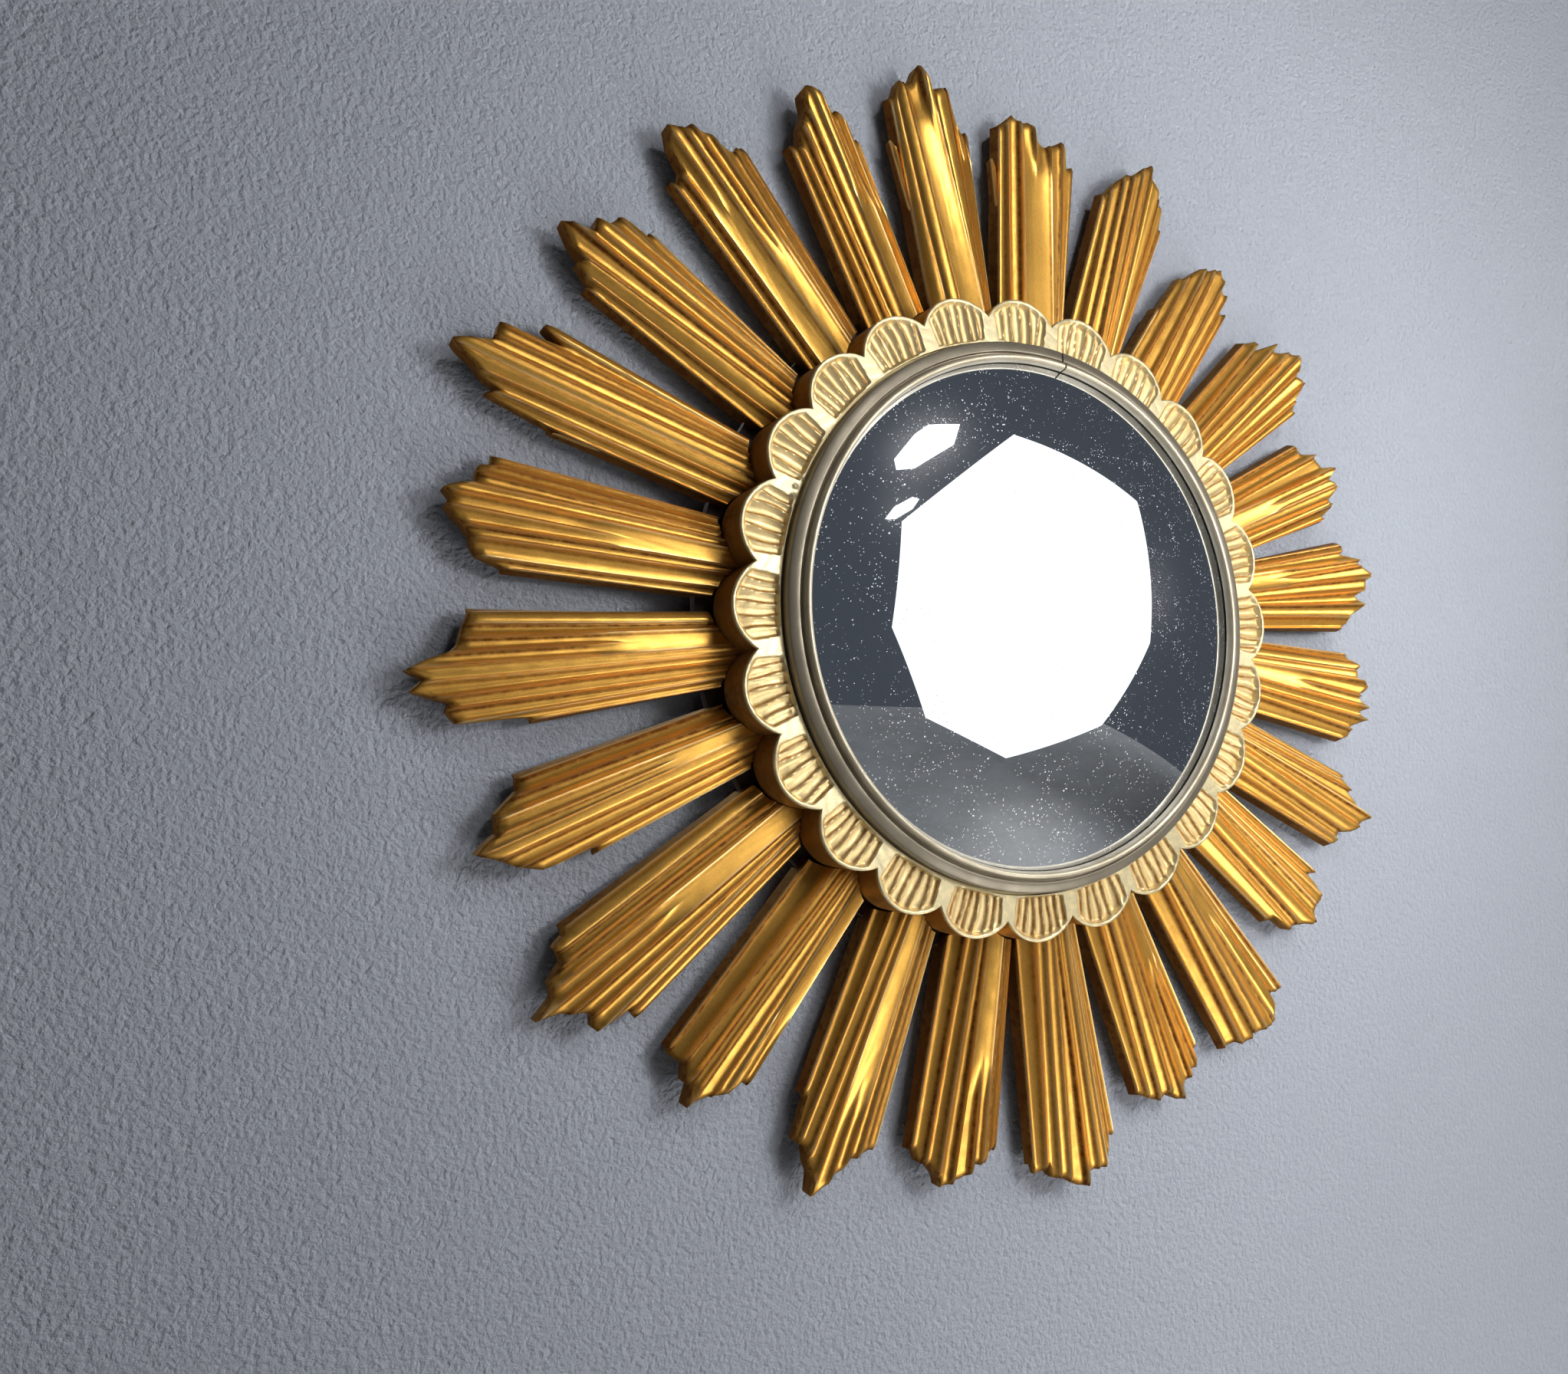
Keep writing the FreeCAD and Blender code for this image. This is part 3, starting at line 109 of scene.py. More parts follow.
# Each ray, clockwise as seen from the front, from the one just left of the top, in thousandths of the notch
# radius. Its rows are: its sides and the crests between them at the root station, the same at the tip station, and
# the outline of its ragged tip, first across and then outwards.
RAY_TABLE = (
    ((-108, -65, -20, 20, 72, 103, 126, 147),
     (-122, -100, -65, 3, 28, 86, 118, 163),
     (-150, -135, -118, -93, -78, -40, -12, 5, 25, 90, 118, 178),
     (1675, 1825, 1825, 1880, 1873, 1885, 1935, 1910, 1845, 1865, 1720, 1727)),
    ((-114, -80, -30, 48, 95, 137, 170),
     (-145, -118, -68, -11, 51, 112, 180),
     (-167, -150, -125, -100, -75, -40, -17, 37, 100, 143, 154, 187),
     (1656, 1790, 1815, 1845, 1815, 1825, 1800, 1752, 1795, 1825, 1730, 1740)),
    ((-95, -55, -30, 15, 48, 82, 120, 142),
     (-113, -90, -52, -20, 12, 50, 110, 171),
     (-125, -106, -80, -50, -33, 0, 32, 50, 94, 110, 160, 167, 190),
     (1718, 1718, 1790, 1837, 1837, 1890, 1925, 1870, 1856, 1818, 1840, 1737, 1733)),
    ((-118, -75, -20, 30, 66, 100, 150),
     (-125, -90, -42, -10, 49, 100, 145),
     (-160, -112, -108, -93, -60, -30, 18, 49, 53, 103, 107, 160),
     (1453, 1453, 1637, 1637, 1730, 1745, 1800, 1764, 1737, 1738, 1668, 1702)),
    ((-120, -70, -35, 5, 40, 75, 105, 130, 154),
     (-160, -118, -65, -13, 29, 72, 122, 162, 200),
     (-160, -132, -107, -74, -55, -17, 14, 43, 64, 79, 137, 149, 162, 207),
     (1683, 1746, 1714, 1814, 1787, 1837, 1868, 1910, 1875, 1806, 1856, 1829, 1768, 1745)),
    ((-106, -79, -40, 0, 32, 65, 94, 125, 160),
     (-135, -100, -66, 4, 45, 76, 119, 146, 190),
     (-133, -120, -98, -68, -6, 17, 32, 45, 85, 105, 121, 160, 180, 200),
     (1675, 1690, 1667, 1745, 1764, 1833, 1790, 1752, 1800, 1760, 1730, 1770, 1710, 1706)),
    ((-116, -90, -60, -30, 0, 38, 57, 100, 145),
     (-143, -115, -74, -45, 3, 50, 99, 150, 193),
     (-145, -137, -105, -82, -72, -58, -12, 11, 45, 72, 115, 130, 149, 176, 193),
     (1768, 1787, 1748, 1830, 1848, 1825, 1910, 1864, 1852, 1783, 1840, 1814, 1745, 1752, 1714)),
    ((-117, -95, -55, -30, 0, 30, 65, 100, 155),
     (-147, -120, -85, -44, 14, 51, 100, 148, 194),
     (-149, -132, -111, -94, -55, -48, -32, -9, 14, 29, 61, 79, 108, 125, 143, 183, 196),
     (1730, 1745, 1798, 1775, 1760, 1814, 1856, 1830, 1780, 1775, 1837, 1798, 1840, 1806, 1764, 1768, 1730)),
    ((-112, -80, -54, -29, 9, 50, 94, 140),
     (-114, -92, -66, -12, 44, 92, 134, 160),
     (-120, -95, -75, -56, -29, -14, 0, 25, 63, 94, 110, 152, 165),
     (1780, 1764, 1820, 1806, 1860, 1864, 1945, 1920, 1887, 1845, 1806, 1818, 1795)),
    ((-133, -100, -74, -45, -5, 35, 75, 128),
     (-158, -125, -85, -38, 13, 65, 100, 138),
     (-162, -120, -112, -78, -55, -40, 11, 34, 57, 90, 110, 115, 153),
     (1770, 1714, 1795, 1830, 1820, 1795, 1845, 1830, 1790, 1760, 1760, 1660, 1645)),
    ((-125, -95, -65, -40, -20, 15, 56, 117),
     (-168, -130, -99, -50, -3, 42, 100, 160),
     (-167, -132, -98, -94, -75, -38, -5, 45, 54, 64, 106, 125, 172),
     (1877, 1845, 1820, 1875, 1887, 1925, 1906, 1887, 1860, 1895, 1887, 1856, 1845)),
    ((-136, -100, -70, -35, -8, 35, 70, 118),
     (-176, -140, -89, -30, 15, 60, 95, 130),
     (-183, -152, -148, -120, -68, -37, -6, 17, 32, 63, 90, 117, 140),
     (1745, 1752, 1810, 1806, 1820, 1864, 1856, 1820, 1810, 1820, 1800, 1775, 1756)),
    ((-140, -110, -85, -65, -30, 5, 35, 70, 128),
     (-183, -150, -120, -84, -35, 25, 62, 105, 148),
     (-198, -162, -160, -143, -78, -55, -47, -12, 26, 53, 95, 99, 149, 160, 180),
     (1845, 1830, 1900, 1933, 1920, 1933, 1965, 1960, 1937, 1910, 1902, 1864, 1880, 1800, 1760)),
    ((-143, -115, -85, -50, -10, 30, 70, 125),
     (-158, -128, -95, -49, 14, 65, 115, 162),
     (-165, -128, -125, -60, -52, -25, 14, 56, 64, 102, 140, 152, 190),
     (1768, 1770, 1806, 1806, 1830, 1848, 1856, 1874, 1845, 1806, 1795, 1764, 1748)),
    ((-122, -90, -70, -40, -10, 20, 45, 90, 135),
     (-151, -120, -90, -50, -14, 30, 70, 110, 148),
     (-158, -122, -106, -64, -48, -22, 13, 25, 40, 63, 90, 130, 133, 167),
     (1774, 1783, 1806, 1818, 1856, 1887, 1948, 1955, 1895, 1870, 1820, 1814, 1690, 1652)),
    ((-105, -70, -45, -20, 7, 35, 71, 140),
     (-110, -78, -45, -14, 30, 68, 115, 170),
     (-112, -85, -62, -35, -5, 18, 38, 57, 80, 107, 141, 165, 195),
     (1730, 1725, 1775, 1800, 1820, 1848, 1880, 1820, 1825, 1780, 1785, 1780, 1748)),
    ((-110, -90, -60, -36, -10, 30, 60, 85, 120, 158),
     (-145, -120, -85, -45, 0, 45, 80, 115, 150, 190),
     (-149, -115, -109, -98, -78, -55, -32, -9, 22, 52, 66, 106, 125, 152, 175, 179, 200),
     (1772, 1775, 1830, 1880, 1885, 1868, 1870, 1900, 1930, 1995, 1920, 1900, 1840, 1830, 1830, 1790, 1775)),
    ((-90, -70, -35, -10, 20, 45, 70, 100, 142),
     (-118, -90, -48, -10, 27, 57, 90, 135, 175),
     (-128, -96, -91, -72, -48, -22, 0, 30, 48, 58, 110, 133, 144, 180),
     (1605, 1590, 1752, 1783, 1820, 1845, 1870, 1910, 1870, 1835, 1815, 1760, 1735, 1720)),
    ((-100, -75, -50, -20, 5, 35, 60, 90, 118, 150),
     (-118, -90, -55, -20, 20, 55, 90, 130, 165, 200),
     (-130, -106, -100, -62, -40, -16, 5, 34, 50, 65, 88, 103, 118, 165, 210),
     (1614, 1660, 1852, 1875, 1865, 1920, 1965, 1925, 1950, 1970, 1910, 1840, 1820, 1800, 1775)),
    ((-100, -75, -30, -5, 25, 55, 79, 105, 130, 158),
     (-120, -95, -50, -15, 25, 62, 95, 130, 162, 190),
     (-122, -98, -75, -48, -25, -2, 28, 50, 75, 91, 110, 149, 164, 168, 200),
     (1683, 1768, 1787, 1795, 1814, 1845, 1872, 1860, 1885, 1855, 1800, 1800, 1790, 1760, 1760)),
    ((-90, -60, -25, 10, 45, 80, 110, 130, 150),
     (-118, -90, -50, -10, 20, 59, 100, 140, 170),
     (-130, -115, -108, -83, -72, -48, -30, -15, 5, 40, 60, 95, 125, 150, 180),
     (1600, 1600, 1840, 1810, 1860, 1900, 1955, 1980, 1950, 1880, 1875, 1880, 1700, 1765, 1752)),
    ((-88, -45, 0, 40, 80, 105, 130, 150),
     (-115, -90, -50, 7, 40, 80, 122, 165),
     (-145, -128, -105, -82, -66, -50, -18, 10, 26, 66, 76, 145, 150, 180),
     (1700, 1730, 1720, 1790, 1785, 1840, 1900, 1845, 1810, 1830, 1790, 1780, 1690, 1687)),
    ((-90, -55, -20, 14, 45, 75, 106, 150),
     (-105, -70, -25, 10, 45, 85, 130, 175),
     (-130, -113, -94, -60, -50, -20, -2, 14, 41, 64, 95, 130, 164, 190),
     (1720, 1775, 1755, 1785, 1860, 1915, 1900, 1880, 1880, 1856, 1806, 1745, 1760, 1737)),
    ((-95, -62, -30, 0, 30, 60, 90, 115, 143),
     (-105, -80, -45, -12, 25, 54, 88, 120, 150),
     (-130, -114, -75, -52, -25, -10, 0, 13, 40, 55, 67, 75, 113, 125, 128, 163),
     (1683, 1712, 1700, 1760, 1790, 1810, 1865, 1875, 1860, 1850, 1820, 1775, 1780, 1730, 1680, 1683)),
)
RAYS = [[np.array(rows).T / 1000 for rows in (ray[:2], ray[2:])] for ray in RAY_TABLE]
PITCH = math.tau / len(RAYS)

# Where a crest begins part of the way out, as a sideways share and a radius share, by the ray's number.
SPLITS = {
    1: ((-0.005, 1.69), (0.012, 1.36), (0.145, 1.55)), 2: ((-0.005, 1.61),), 6: ((0.048, 1.32),),
    7: ((-0.03, 1.314),), 8: ((-0.002, 1.375),), 11: ((-0.051, 1.32),), 12: ((-0.068, 1.29),),
    14: ((-0.032, 1.445),), 15: ((0.005, 1.583),), 16: ((-0.062, 1.452),), 17: ((0.048, 1.452),),
    18: ((0.042, 1.237),), 19: ((0.08, 1.33),), 20: ((0.038, 1.35),), 23: ((-0.025, 1.572), (0.052, 1.39)),
    24: ((0.055, 1.414), (0.128, 1.37)),
}

# Thin reeds low on a ray's left flank: the ray's number, then the reed's point and end as shares.
SIDE_REEDS = (
    (1, (-0.107, 1.364), (-0.151, 1.675)),
    (2, (-0.098, 1.29), (-0.167, 1.656)),
    (21, (-0.098, 1.37), (-0.122, 1.62)),
)

# A reed's section from its outer to its inner edge, as a share across it and a height in metres.
REED_SECTION = ((0.0, -0.0030), (0.22, -0.0017), (0.5, -0.0022), (0.8, -0.0034), (1.0, -0.0034))

# Small beads left on the collar near the bezel, as degrees clockwise and a radius share.
BEADS = ((-65.2, 0.927), (-67.1, 0.931), (-68.9, 0.928), (-108.2, 0.93), (-109.7, 0.933))

# The turned sections as radius and depth: the collar's foot ring and the bezel strip with its flange and bead.
FOOT_SECTION = (
    (0.1460, 0.0120), (0.1577, 0.0120), (0.1577, 0.0219), (0.1553, 0.0221), (0.1553, 0.0440), (0.1460, 0.0440),
)
BEZEL_SECTION = (
    (0.1463, 0.0440), (0.1540, 0.0440), (0.1540, 0.0528), (0.1537, 0.0534), (0.1530, 0.0539), (0.1500, 0.0547),
    (0.1484, 0.0551), (0.1479, 0.0550), (0.1475, 0.0545), (0.1472, 0.0538), (0.1468, 0.0537), (0.1464, 0.0541),
    (0.14625, 0.0552), (0.1461, 0.0566), (0.1457, 0.0576), (0.1450, 0.0584), (0.1441, 0.0587), (0.1432, 0.0584),
    (0.1425, 0.0577), (0.1421, 0.0567), (0.1419, 0.0556), (0.1418, 0.0541), (0.1463, 0.0523),
)
BEZEL_JOINT_DEGREES = 9.0
BEZEL_GAP_DEGREES = 0.45


def smooth_step(value):
    """The usual smooth ramp from 0 to 1."""
    value = np.clip(value, 0, 1)
    return value * value * (3 - 2 * value)


def wave_noise(values, seed, rate):
    """A smooth random wave of about unit size along values, from a seed and a rate."""
    rng = np.random.default_rng(seed)
    total = np.zeros_like(values, dtype=float)
    for octave in range(1, 5):
        size = rng.normal()
        phase = values * rate * octave * rng.uniform(0.7, 1.3)
        total += size * np.sin(phase + rng.uniform(0, math.tau)) / octave
    return total / 1.5


def linked_object(name, data):
    """A new object in the scene."""
    item = bpy.data.objects.new(name, data)
    bpy.context.scene.collection.objects.link(item)
    return item


def new_mesh(name, verts, faces, layers, material, sharp_degrees=32.0):
    """A mesh object with point attributes and a material slot, that rides on the mirror's body."""
    mesh = bpy.data.meshes.new(name)
    mesh.from_pydata([tuple(v) for v in verts], [], faces)
    for key, values in layers.items():
        layer = mesh.attributes.new(key, "FLOAT", "POINT")
        layer.data.foreach_set("value", np.asarray(values, dtype=np.float32))
    mesh.validate()
    mesh.shade_smooth()
    mesh.set_sharp_from_angle(angle=math.radians(sharp_degrees))
    mesh.materials.append(material)
    piece = linked_object(name, mesh)
    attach(piece, BODY)
    return piece


def wear_layers(groove, worn, downs):
    """The colours of a slab's points: the top's patina with painted shade and its worn lines with painted highlights,
    and below the top the mask in full.
    """
    below = len(downs) - groove.size
    return {"groove": np.append(groove, np.ones(below)), "worn": np.append(worn, np.zeros(below)), "down": downs}


def slab(top, bottom, steps, closed=False):
    """The vertices and faces of a closed body between two grids of points with the same shape, and each
    vertex's share of the way down. Grids run columns by rows, and closed grids join their last column to
    their first."""
    cols, rows = top.shape[:2]
    base = cols * rows
    verts = [top.reshape(-1, 3), bottom.reshape(-1, 3)]
    downs = [np.zeros(base), np.ones(base)]
    faces = []
    for sheet in (0, base):
        for i in range(cols if closed else cols - 1):
            here = sheet + i * rows
            beside = sheet + (i + 1) % cols * rows
            for k in range(rows - 1):
                quad = (here + k, beside + k, beside + k + 1, here + k + 1)
                faces.append(quad[::-1] if sheet else quad)
    if closed:
        rims = [[(i, 0) for i in range(cols)][::-1], [(i, rows - 1) for i in range(cols)]]
    else:
        rim = [(i, 0) for i in range(cols)][::-1] + [(0, k) for k in range(1, rows)]
        rim += [(i, rows - 1) for i in range(1, cols)] + [(cols - 1, k) for k in range(rows - 2, 0, -1)]
        rims = [rim]
    count = 2 * base
    for rim in rims:
        upper = [i * rows + k for i, k in rim]
        ring = upper
        for step in range(1, steps + 1):
            share = step / steps
            if step == steps:
                below = [base + v for v in upper]
            else:
                verts.append(np.array([top[i, k] * (1 - share) + bottom[i, k] * share for i, k in rim]))
                downs.append(np.full(len(rim), share))
                below = list(range(count, count + len(rim)))
                count += len(rim)
            for a in range(len(rim)):
                b = (a + 1) % len(rim)
                faces.append((ring[b], ring[a], below[a], below[b]))
            ring = below
    return np.concatenate(verts), faces, np.concatenate(downs)


def turned(points, angle):
    """Points turned clockwise about the mirror's axis as seen from the front."""
    x = points[..., 0] * math.cos(angle) + points[..., 2] * math.sin(angle)
    z = -points[..., 0] * math.sin(angle) + points[..., 2] * math.cos(angle)
    return np.stack([x, points[..., 1], z], axis=-1)


def petal_rim(angle):
    """The collar's outline as a radius share, at an angle from a notch between two petals."""
    inside = np.mod(angle, PITCH) - PITCH / 2
    reach = RIM_CENTRE_SHARE * np.cos(inside)
    return reach + np.sqrt(RIM_RADIUS_SHARE ** 2 - (RIM_CENTRE_SHARE * np.sin(inside)) ** 2)


def ray_columns(crests, fine):
    """The columns of a ray: the flute that each one lies in, and how far across that flute."""
    columns = []
    for index in range(len(crests) - 1):
        width = crests[index + 1][1] - crests[index][1]
        count = max(5, round(width / COLUMN_WIDTH * fine))
        for step in range(count):
            columns.append((index, 0.5 - 0.5 * math.cos(math.pi * step / count)))
    columns.append((len(crests) - 2, 1.0))
    return np.array([c[0] for c in columns]), np.array([c[1] for c in columns])


def merged_sink(fl, ac, r, spot, last, sink, splits, crest_at):
    """The flutes' depths with some crests faded out inside the radius where they split off, and how much of
    each crest is left."""
    left_over = np.ones_like(sink)
    for place, start in splits:
        places = crest_at(np.arange(last + 1), np.full(last + 1, start))
        crest = int(np.clip(np.argmin(np.abs(places - place)), 1, last - 1))
        left = crest_at(np.full_like(fl, crest - 1), r)
        right = crest_at(np.full_like(fl, crest + 1), r)
        share = np.clip((spot - left) / (right - left), 0, 1)
        bowl = (right - left) * NOTCH_RADIUS * 0.10 * (1 - np.abs(2 * share - 1) ** 2.2)
        keep = smooth_step((r - start) / 0.16)
        touched = (fl == crest - 1) | (fl == crest)
        sink = np.where(touched, sink * keep + bowl * (1 - keep), sink)
        near = ((fl == crest - 1) & (ac > 0.5)) | ((fl == crest) & (ac < 0.5))
        left_over = np.where(near, left_over * keep, left_over)
    return sink, left_over


def stepped_back(bottom, r):
    """Set the depths of a ray's back: over the hub's front as far as its edge, and further back beyond it."""
    edge_radius = HUB_RADIUS + FIT_GAP
    back = np.where(r * NOTCH_RADIUS < edge_radius, HUB_FRONT, RAY_BACK)
    bottom[..., 1] = -back
    first = (back == RAY_BACK).argmax(axis=1)
    rows = np.flatnonzero(first > 0)
    first = first[rows]
    near, far = r[rows, first - 1], r[rows, first]
    share = (edge_radius / NOTCH_RADIUS - near) / (far - near)
    edge = bottom[rows, first - 1] + (bottom[rows, first] - bottom[rows, first - 1]) * share[:, None]
    bottom[rows, first - 1, 0] = bottom[rows, first, 0] = edge[:, 0]
    bottom[rows, first - 1, 2] = edge[:, 2] - 0.00005
    bottom[rows, first, 2] = edge[:, 2] + 0.00005


def build_ray(number, crests, outline, material, fine):
    """One carved ray as a closed mesh."""
    rng = np.random.default_rng(RAY_SEED + number)
    flute, across = ray_columns(crests, fine)
    last = len(crests) - 1

    def crest_at(index, r):
        share = (r - ROOT_STATION_SHARE) / (TIP_STATION_SHARE - ROOT_STATION_SHARE)
        base = crests[index, 0] + (crests[index, 1] - crests[index, 0]) * share
        sway = np.where((index > 0) & (index < last), CREST_SWAY, 0.0)
        return base + sway * np.sin(index * 2.1 + number + (r - 1.2) * 5.0)

    def place(r):
        left = crest_at(flute, r)
        return left + (crest_at(flute + 1, r) - left) * across

    end = np.full(len(flute), 1.85)
    for _ in range(12):
        end = end * 0.5 + 0.5 * np.interp(place(end), outline[:, 0], outline[:, 1])
    start = np.full(len(flute), 1.05)
    for _ in range(8):
        start = petal_rim(np.arctan2(place(start), start)) + FIT_GAP / NOTCH_RADIUS
        start = np.minimum(start, PETAL_TIP_SHARE + FIT_GAP / NOTCH_RADIUS)
    ladder = np.concatenate([np.linspace(0, 0.955, 34), [0.97, 0.982, 0.99, 0.996, 1.0]])
    r = start[:, None] + (end - start)[:, None] * ladder[None, :]
    fl = np.repeat(flute[:, None], len(ladder), axis=1)
    ac = np.repeat(across[:, None], len(ladder), axis=1)
    left = crest_at(fl, r)
    right = crest_at(fl + 1, r)
    spot = left + (right - left) * ac
    width = np.abs(right - left) * NOTCH_RADIUS
    edge_l = crest_at(np.zeros_like(fl), r)
    edge_r = crest_at(np.full_like(fl, last), r)
    middle = (edge_l + edge_r) / 2
    half = (edge_r - edge_l) / 2
    along = (r - ROOT_PLANE_SHARE) / (TIP_PLANE_SHARE - ROOT_PLANE_SHARE)
    fall = ROOT_DROP + (TIP_DROP - ROOT_DROP) * along
    crest_depth = RIM_DEPTH - fall - RAY_DOME * ((spot - middle) / half) ** 2

    kind = rng.uniform(0, 1, len(crests))
    deep = rng.uniform(0.75, 1.25, len(crests))
    skew = rng.uniform(0.75, 1.35, len(crests))
    steep = rng.uniform(1.9, 4.2, len(crests))
    hollow = 1 - np.abs(2 * ac ** skew[fl] - 1) ** steep[fl]
    sink = width * FLUTE_SHARE * deep[fl] * hollow
    wave = (1 - (2 * ac - 1) ** 2) * 0.10 - 0.17 * (np.exp(-(ac / 0.12) ** 2) + np.exp(-((1 - ac) / 0.12) ** 2))
    sink = np.where(kind[fl] > 1 - ROUND_CHANCE, -width * wave * 0.6 + width * 0.05, sink)
    sink, left_over = merged_sink(fl, ac, r, spot, last, sink, SPLITS.get(number, ()), crest_at)
    sink = np.minimum(sink, FLUTE_LIMIT)
    tool = TOOL_MARK * wave_noise(r + fl * 3.1, TOOL_SEED + number, 55.0) * hollow
    near_end = (end[:, None] - r) * NOTCH_RADIUS
    soft = TIP_FALL * (1 - np.clip(near_end / TIP_REACH, 0, 1)) ** 1.6
    depth = crest_depth - sink + tool - soft

    turn = PITCH * (number - 1.5)
    crest_off = np.minimum(ac, 1 - ac) * width
    # Painted shade: a brown band beside each crest on the side that faces away from the light, faint on the lit side.
    under = (ac > 0.5) == (CLEAN_SIDE[0] * math.cos(turn) - CLEAN_SIDE[1] * math.sin(turn) > 0)
    rubbed = np.where(under, 1.0, 0.15) * rng.uniform(0.6, 1.0, len(crests))[fl]
    groove = 0.9 * rubbed * np.exp(-((crest_off - BAND_PLACE) / BAND_WIDTH) ** 2) + 0.4 * np.clip(sink / 0.0036, 0, 1)
    groove = np.maximum(groove * left_over, np.clip(1.3 - near_end / 0.0035, 0, 1) * 0.95)
    # Worn crest lines, which are also painted highlights, fading towards the ragged end.
    worn = np.exp(-(crest_off / WORN_WIDTH) ** 2) * left_over * np.clip(near_end / 0.005, 0.1, 1)

    top = np.stack([spot * NOTCH_RADIUS, -depth, r * NOTCH_RADIUS], axis=-1)
    sides = np.where(np.abs(spot - middle) / half > 0.999, np.sign(spot - middle), 0)
    bottom = top.copy()
    bottom[..., 0] += sides * SIDE_FLARE * np.clip(along, 0, 1)
    stepped_back(bottom, r)
    verts, faces, downs = slab(turned(top, turn), turned(bottom, turn), steps=4)
    wear = wear_layers(groove, worn, downs)
    piece = new_mesh(f"carved_ray_{number:02d}", verts, faces, wear, material)
    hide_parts(f"ray_{number:02d}")


def build_reed(number, start, end, material):
    """One thin reed on a ray's left flank as a closed mesh, from its point at the ray's edge to its full width."""
    share = np.linspace(0, 1, 31)
    out = start[1] + (end[1] - start[1]) * share
    outer = start[0] + (end[0] - start[0]) * share
    root, tip = RAYS[number - 1][0][0]
    inner = root + (tip - root) * (out - ROOT_STATION_SHARE) / (TIP_STATION_SHARE - ROOT_STATION_SHARE) + 0.006
    outer = np.minimum(outer, inner - 0.007)
    inner = inner - (inner - outer) * np.clip((share - 0.86) / 0.14, 0, 1) ** 1.3 * 0.92
    fall = (out - ROOT_PLANE_SHARE) / (TIP_PLANE_SHARE - ROOT_PLANE_SHARE)
    depth = RIM_DEPTH - ROOT_DROP - (TIP_DROP - ROOT_DROP) * fall - RAY_DOME
    close = 0.0008 * np.clip(1 - (1 - share) / 0.04, 0, 1) ** 2
    columns = []
    for across, lift in REED_SECTION:
        spot = outer + (inner - outer) * across
        columns.append(np.stack([spot * NOTCH_RADIUS, -(depth + lift - close), out * NOTCH_RADIUS], axis=-1))
    top = np.stack(columns)
    bottom = top.copy()
    bottom[..., 1] = -RAY_BACK
    turn = PITCH * (number - 1.5)
    verts, faces, downs = slab(turned(top, turn), turned(bottom, turn), steps=2)
    edges = np.zeros(len(verts))
    edges[:2 * len(share)] = 0.5
    wear = {"groove": np.clip(downs * 2 + 0.3 * (edges == 0), 0, 1), "worn": edges, "down": downs}
    piece = new_mesh(f"side_reed_{number:02d}", verts, faces, wear, material)
    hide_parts(f"ray_{number:02d}")


def petal_edges(number):
    """The flute edges of one petal as shares of its fluted half width, their sway and the flutes' depths."""
    rng = np.random.default_rng(PETAL_SEED + number)
    edges = np.array([-1, -0.69, -0.30, 0.06, 0.41, 0.73, 1])
    if rng.random() < 0.35:
        edges = np.array([-1, -0.74, -0.46, -0.15, 0.14, 0.45, 0.75, 1])
    edges[1:-1] += rng.uniform(-0.045, 0.045, len(edges) - 2)
    return edges, rng.uniform(0, math.tau, len(edges)), rng.uniform(0.75, 1.2, len(edges))


def petal_flutes(x, out, to_rim, number):
    """How deep one petal is cut at places on it, how dark its hollows are, and where it is worn bright."""
    edges, sway, deep = petal_edges(number)
    half = (0.0948 + 0.18 * (out - 0.925)) * NOTCH_RADIUS
    across = x / half
    lines = edges[None, :] + 0.035 * np.sin((out[:, None] - 0.92) * 34 + sway[None, :]) * (np.abs(edges) < 0.99)
    slot = np.clip((across[:, None] > lines).sum(axis=1) - 1, 0, len(edges) - 2)
    pick = np.arange(len(slot))
    left, right = lines[pick, slot], lines[pick, slot + 1]
    share = np.clip((across - left) / (right - left), 0, 1)
    wide = (right - left) * half
    hollow = 1 - np.abs(2 * share - 1) ** 2.2
    inside = smooth_step((half - np.abs(x)) / 0.0010)
    near_rim = smooth_step((to_rim - 0.0013) / 0.0026)
    near_bezel = smooth_step((out * NOTCH_RADIUS - 0.1559) / 0.0012)
    field = inside * near_rim * near_bezel
    line = np.exp(-(np.minimum(share, 1 - share) * wide / RIB_WIDTH) ** 2)
    dark = np.exp(-((share * wide - WASH_PLACE) / WASH_WIDTH) ** 2) * 0.9 + 0.38 * hollow
    scoop = PETAL_SCOOP * np.clip(1 - across ** 2, 0, 1)
    cut = 0.00035 + scoop + wide * PETAL_FLUTE_SHARE * deep[slot] * hollow
    return field * cut, field * dark, 1 - field * (1 - line)


